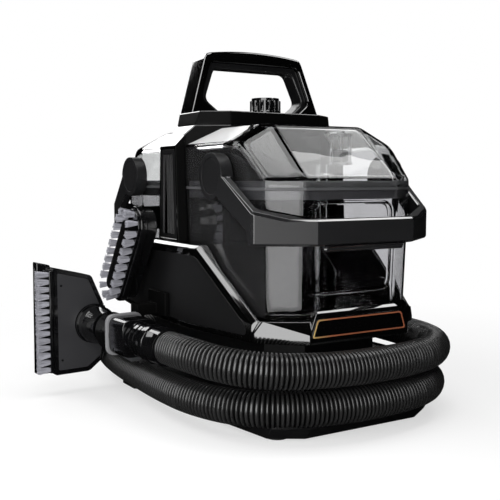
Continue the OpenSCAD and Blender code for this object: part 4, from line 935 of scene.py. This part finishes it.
class EXTRACTOR_OT_lids(bpy.types.Operator):
    """Makes the two clear lids, the float's cage and the filler cap"""
    bl_idname = "extractor.lids"
    bl_label = "Lids"

    def execute(self, context):
        stands_for(shade(lid_piece("front_lid_shell", True), 30), "front_lid", "clear", "front_lid")
        rear = mirrored(lid_piece("rear_lid_shell", False))
        carve(rear, prism("neck", disc(17, 48, NECK_SPOT), LID_TOP - 1, LID_TOP + 6), operation="UNION")
        carve(rear, prism("bore", disc(14, 48, NECK_SPOT), LID_TOP - 4, LID_TOP + 8))
        stands_for(shade(rear, 30), "rear_lid", "smoked_clear", "rear_lid")
        dressed("front_lid", ("float_cage", "clear_float_cage", 0.3, "smoked", "clear"))
        dressed("fill_cap", ("fill_cap", "filler_cap", 0.5, "satin", "satin_black"))
        return {"FINISHED"}


def bail_bend(p):
    """Draws a point near a bail's two bends in, by up to 7 mm sideways and 13 mm back to the pivot.

    The draw starts 60 mm beside the middle and 129 mm from it, and is whole at the outside of the bends."""
    near = min(1, max(0, (abs(p.x) - 60) / 59)) * min(1, max(0, (abs(p.y) - 129) / 60))
    return p - near * Vector((copysign(7, p.x), copysign(13, p.y), 0))


class EXTRACTOR_OT_bails(bpy.types.Operator):
    """Chamfers the two carrying bails and rounds their hub caps"""
    bl_idname = "extractor.bails"
    bl_label = "Bails"

    def execute(self, context):
        for end in ("front", "rear"):
            dressed(f"{end}_bail", (f"{end}_bail", f"{end}_bail_arm", 2.2, "bail", "bail_grey",
                                    {"chamfer": FINISH["bail_edge"], "sharp_from": 50, "bent": bail_bend}),
                    (f"{end}_bail_caps", f"{end}_hub_caps", 0.7, "bail", "bail_grey"))
            # The cones round the hubs are polished like the chamfers.
            for face in bpy.data.objects[f"{end}_bail_arm"].data.polygons:
                p, n = face.center / MM, face.normal
                on_hub = hypot(abs(p.y) - PIVOT_Y, p.z - PIVOT_Z) < HUB_RADIUS and abs(p.x) > 112
                if on_hub and 0.4 < abs(n.x) < 0.9:
                    face.material_index = 1
        return {"FINISHED"}


class EXTRACTOR_OT_dial(bpy.types.Operator):
    """Rounds the fluted control dial"""
    bl_idname = "extractor.dial"
    bl_label = "Dial"

    def execute(self, context):
        dressed("control_dial", ("control_dial", "dial_knob", 0.5, "tool", "satin_black"))
        return {"FINISHED"}


# ---------------------------------------------------------------- cleaning tools

class EXTRACTOR_OT_wand(bpy.types.Operator):
    """Rounds the wand's grip, pad, swivel, trigger and saddle"""
    bl_idname = "extractor.wand"
    bl_label = "Wand"

    def execute(self, context):
        dressed("root", ("swivel_ring", "wand_swivel", 0.6, "tool", "satin_black"),
                ("grip_shell", "wand_grip", 0.8, "tool", "satin_black"),
                ("grip_pad", "wand_pad", 1.2, "pad", "pad_grey"),
                ("tool_bracket", "wand_saddle", 1.2, "well", "satin_black"))
        dressed("trigger", ("trigger", "wand_trigger", 0.6, "grey", "grey_plastic"))
        return {"FINISHED"}


class EXTRACTOR_OT_wide_tool(bpy.types.Operator):
    """Rounds the wide tool and plants its row of bristles"""
    bl_idname = "extractor.wide_tool"
    bl_label = "Wide tool"

    def execute(self, context):
        dressed("wide_tool", ("tool_body", "wide_tool_shell", 1.5, "tool", "gloss_black"),
                ("tool_cover", "wide_tool_cover", 0.5, "cover", "grey_plastic"),
                ("tool_neck", "wide_tool_neck", 0.8, "tool", "satin_black"))
        # Fourteen tufts stand in a row 112 mm long, in front of the strip that holds them.
        row = [((-52.5, 90, -50 + 112 / 13 * k), (-1, 0, 0), (0, 0, 1)) for k in range(14)]
        stands_for(tufts("wide_tool_bristles", WAND_TURN, row, Length=0.016), "wide_tool", "bristle_grey",
                   "tool_bristles")
        strip = slab("wide_tool_strip", [(-54, -54), (-50.2, -54), (-50.2, 66), (-54, 66)], 85, 94.8, 0.8)
        stands_for(shade(placed(strip, WAND_TURN, "tool")), "wide_tool", "satin_black")
        return {"FINISHED"}


def oval_roots(straight, r, count):
    """The roots of tufts round an oval that has half a straight's length and a radius, each leaning outwards."""
    depth, lean = -1.5, 0.12
    roots, arc = [], pi * r
    path = 4 * straight + 2 * pi * r
    for k in range(count):
        s = k * path / count
        if s < 2 * straight:
            a, z = 0, s - straight
        elif s < 2 * straight + arc:
            a, z = (s - 2 * straight) / r, straight
        elif s < 4 * straight + arc:
            a, z = pi, 3 * straight + arc - s
        else:
            a, z = pi + (s - 4 * straight - arc) / r, -straight
        out = Vector((0, cos(a), sin(a)))
        roots.append(((depth, r * out.y, z + r * out.z), Vector((-1, lean * out.y, lean * out.z)),
                      (0, -sin(a), cos(a))))
    return roots


class EXTRACTOR_OT_oval_brush(bpy.types.Operator):
    """Rounds the oval brush and plants its ring of tufts"""
    bl_idname = "extractor.oval_brush"
    bl_label = "Oval brush"

    def execute(self, context):
        dressed("oval_brush", ("brush_body", "oval_brush_shell", 1.2, "tool", "satin_black"))
        stands_for(tufts("oval_brush_bristles", BRUSH_TURN, oval_roots(44, 15, 22), Length=0.0145, Width=0.003,
                         Deep=0.0044), "oval_brush", "bristle_grey", "brush_bristles")
        ring = carve(slab("oval_brush_ring", oval(19, 63), -2.5, 0, 0.6, "x"),
                     prism("hole", oval(11, 55), -4, 2, "x"))
        stands_for(shade(placed(ring, BRUSH_TURN, "tool")), "oval_brush", "satin_black")
        core = slab("oval_brush_core", oval(8, 50), -11.5, 0, 1.5, "x")
        stands_for(shade(placed(core, BRUSH_TURN, "well")), "oval_brush", "soft_rubber")
        return {"FINISHED"}


# The finish of each part whose shape is right as it stands.
KEPT = {
    "base_feet": "rubber", "base_screws": "steel", "hose_core": "satin", "suction_duct": "grey",
    "cord_gland": "satin", "dial_switch": "grey", "fan_scroll": "grey", "impeller": "cast",
    "vacuum_motor": "cast", "motor_cushion": "rubber", "steam_boiler": "cast", "water_pump": "grey",
    "circuit_board": "board", "float_ball": "foam", "outlet_valve": "grey", "valve_plunger": "brass",
    "tool_screws": "screw", "brush_bracket": "well"}


class EXTRACTOR_OT_plain_parts(bpy.types.Operator):
    """Gives the parts whose shape is right as it stands their finish"""
    bl_idname = "extractor.plain_parts"
    bl_label = "Plain parts"

    def execute(self, context):
        for node, finish in KEPT.items():
            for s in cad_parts[node].material_slots:
                s.material = FINISH[finish]
        return {"FINISHED"}


# ---------------------------------------------------------------- stage

def softbox(name, azimuth, elevation, distance, width, height, radiance):
    """A softbox that faces the machine, with a strength in light given off per area."""
    data = bpy.data.lights.new(name, "AREA")
    data.shape, data.size, data.size_y = "RECTANGLE", width, height
    data.energy = radiance * pi * width * height * bpy.context.scene.extractor_stage.lamp_scale
    made = link(name, data)
    a, e = radians(azimuth), radians(elevation)
    away = Vector((sin(a) * cos(e), -cos(a) * cos(e), sin(e)))
    made.location = Vector((0, 0, 0.2)) + away * distance
    made.rotation_euler = (-away).to_track_quat("-Z", "Y").to_euler()
    made.visible_camera = False


# Each lamp's azimuth and elevation in degrees, its distance, width and height in metres, and its radiance.
LAMPS = {"front": (-45, 4.4, 0.66, 0.5, 0.5, 4.2), "top": (-6, 82, 1.5, 0.85, 0.85, 4.3),
         "right": (78, 55, 1.8, 0.52, 0.62, 4.5), "side": (106, 52, 1.8, 0.5, 0.55, 1.5),
         "left": (-107, 48, 1.8, 1.2, 0.85, 4.0), "rear": (180, 31, 1.8, 1.1, 0.57, 4.0)}


def seen_directly(tree):
    """1 where a surface is seen straight or through clear walls, and 0 where it is seen in a reflection."""
    path = add(tree, "ShaderNodeLightPath").outputs
    through = calc(tree, "MULTIPLY", path["Is Transmission Ray"], calc(tree, "LESS_THAN", path["Glossy Depth"], 0.5))
    return calc(tree, "MAXIMUM", path["Is Camera Ray"], through)


def stage_finish(name, colour, rough):
    """A dull material for the stage, with no gloss."""
    material, tree, shader, place = new_material(name)
    feed(tree, shader, {"Base Color": colour, "Roughness": rough, "Specular IOR Level": 0.0})
    return material, tree, place


def give_way(tree, share, other):
    """Lets a material's surface give way to another shader by a share."""
    mix = add(tree, "ShaderNodeMixShader", {0: share, 1: tree.nodes["Principled BSDF"].outputs[0],
                                            2: other.outputs[0]})
    tree.links.new(mix.outputs[0], tree.nodes["Material Output"].inputs["Surface"])


class EXTRACTOR_OT_stage(bpy.types.Operator):
    """Sets the pale floor, the white surroundings, the softboxes and the black cards"""
    bl_idname = "extractor.stage"
    bl_label = "Stage"

    def execute(self, context):
        stage = context.scene.extractor_stage
        context.scene.view_settings.view_transform = "Standard"
        world = bpy.data.worlds.new("white_surroundings")
        world.use_nodes = True
        context.scene.world = world
        tree = world.node_tree
        path = add(tree, "ShaderNodeLightPath").outputs
        shown = calc(tree, "MAXIMUM", calc(tree, "MAXIMUM", path["Is Camera Ray"], path["Is Glossy Ray"]),
                     path["Is Transmission Ray"])
        feed(tree, tree.nodes["Background"], {"Strength": remap(tree, shown, stage.fill, 1.0),
                                              "Color": (1, 1, 1, 1)})

        # The floor turns white away from the machine, where it is seen directly.
        bm = bmesh.new()
        bmesh.ops.create_circle(bm, cap_ends=True, segments=64, radius=12)
        paper, tree, place = stage_finish("floor_paper", linear(hex_code(stage.floor_colour)), 0.9)
        away = add(tree, "ShaderNodeVectorMath", {0: place}, operation="LENGTH").outputs["Value"]
        far = remap(tree, away, stage.floor_glow, 1.0, 0.32, 0.8, interpolation_type="SMOOTHSTEP")
        white = add(tree, "ShaderNodeEmission", {"Color": (1, 1, 1, 1), "Strength": 1.0})
        give_way(tree, calc(tree, "MULTIPLY", seen_directly(tree), far), white)
        floor = from_bmesh("floor", bm, paper)

        # Black cards, half a millimetre above the floor and all round, keep the gloss black; nothing else meets them.
        bm = bmesh.new()
        bmesh.ops.create_cone(bm, cap_ends=True, segments=64, radius1=2.6, radius2=2.6, depth=3)
        bmesh.ops.translate(bm, verts=bm.verts, vec=(0, 0, 1.5 + 0.0005))
        card, tree, place = stage_finish("black_card", linear("#0a0a0a"), 1.0)
        give_way(tree, seen_directly(tree), add(tree, "ShaderNodeBsdfTransparent"))
        cards = from_bmesh("black_cards", bm, card)
        cards.visible_camera = cards.visible_diffuse = cards.visible_shadow = False
        cards.visible_volume_scatter = False

        for name, lamp in LAMPS.items():
            softbox(f"softbox_{name}", *lamp)
        return {"FINISHED"}


# ---------------------------------------------------------------- add-on

OPERATORS = [EXTRACTOR_OT_camera, EXTRACTOR_OT_hose, EXTRACTOR_OT_base, EXTRACTOR_OT_housing, EXTRACTOR_OT_badge,
             EXTRACTOR_OT_handle, EXTRACTOR_OT_tanks, EXTRACTOR_OT_lids, EXTRACTOR_OT_bails, EXTRACTOR_OT_dial,
             EXTRACTOR_OT_wand, EXTRACTOR_OT_wide_tool, EXTRACTOR_OT_oval_brush, EXTRACTOR_OT_plain_parts,
             EXTRACTOR_OT_stage]
SETTINGS = {"extractor_look": ExtractorLook, "extractor_sizes": ExtractorSizes, "extractor_stage": ExtractorStage}


class EXTRACTOR_PT_panel(bpy.types.Panel):
    """Lists the steps and the settings of the spot extractor"""
    bl_idname = "EXTRACTOR_PT_panel"
    bl_label = "Spot extractor"
    bl_space_type = "VIEW_3D"
    bl_region_type = "UI"
    bl_category = "Extractor"

    def draw(self, context):
        for name, group in SETTINGS.items():
            for prop in group.__annotations__:
                self.layout.prop(getattr(context.scene, name), prop)
        for step in OPERATORS:
            self.layout.operator(step.bl_idname)


def register():
    for group in [*SETTINGS.values(), *OPERATORS, EXTRACTOR_PT_panel]:
        bpy.utils.register_class(group)
    for name, group in SETTINGS.items():
        setattr(bpy.types.Scene, name, bpy.props.PointerProperty(type=group))


def unregister():
    for name in SETTINGS:
        delattr(bpy.types.Scene, name)
    for group in reversed([*SETTINGS.values(), *OPERATORS, EXTRACTOR_PT_panel]):
        bpy.utils.unregister_class(group)


def main():
    register()
    mix_finishes()
    for step in OPERATORS:
        space, name = step.bl_idname.split(".")
        getattr(getattr(bpy.ops, space), name)()


if __name__ == "__main__":
    main()
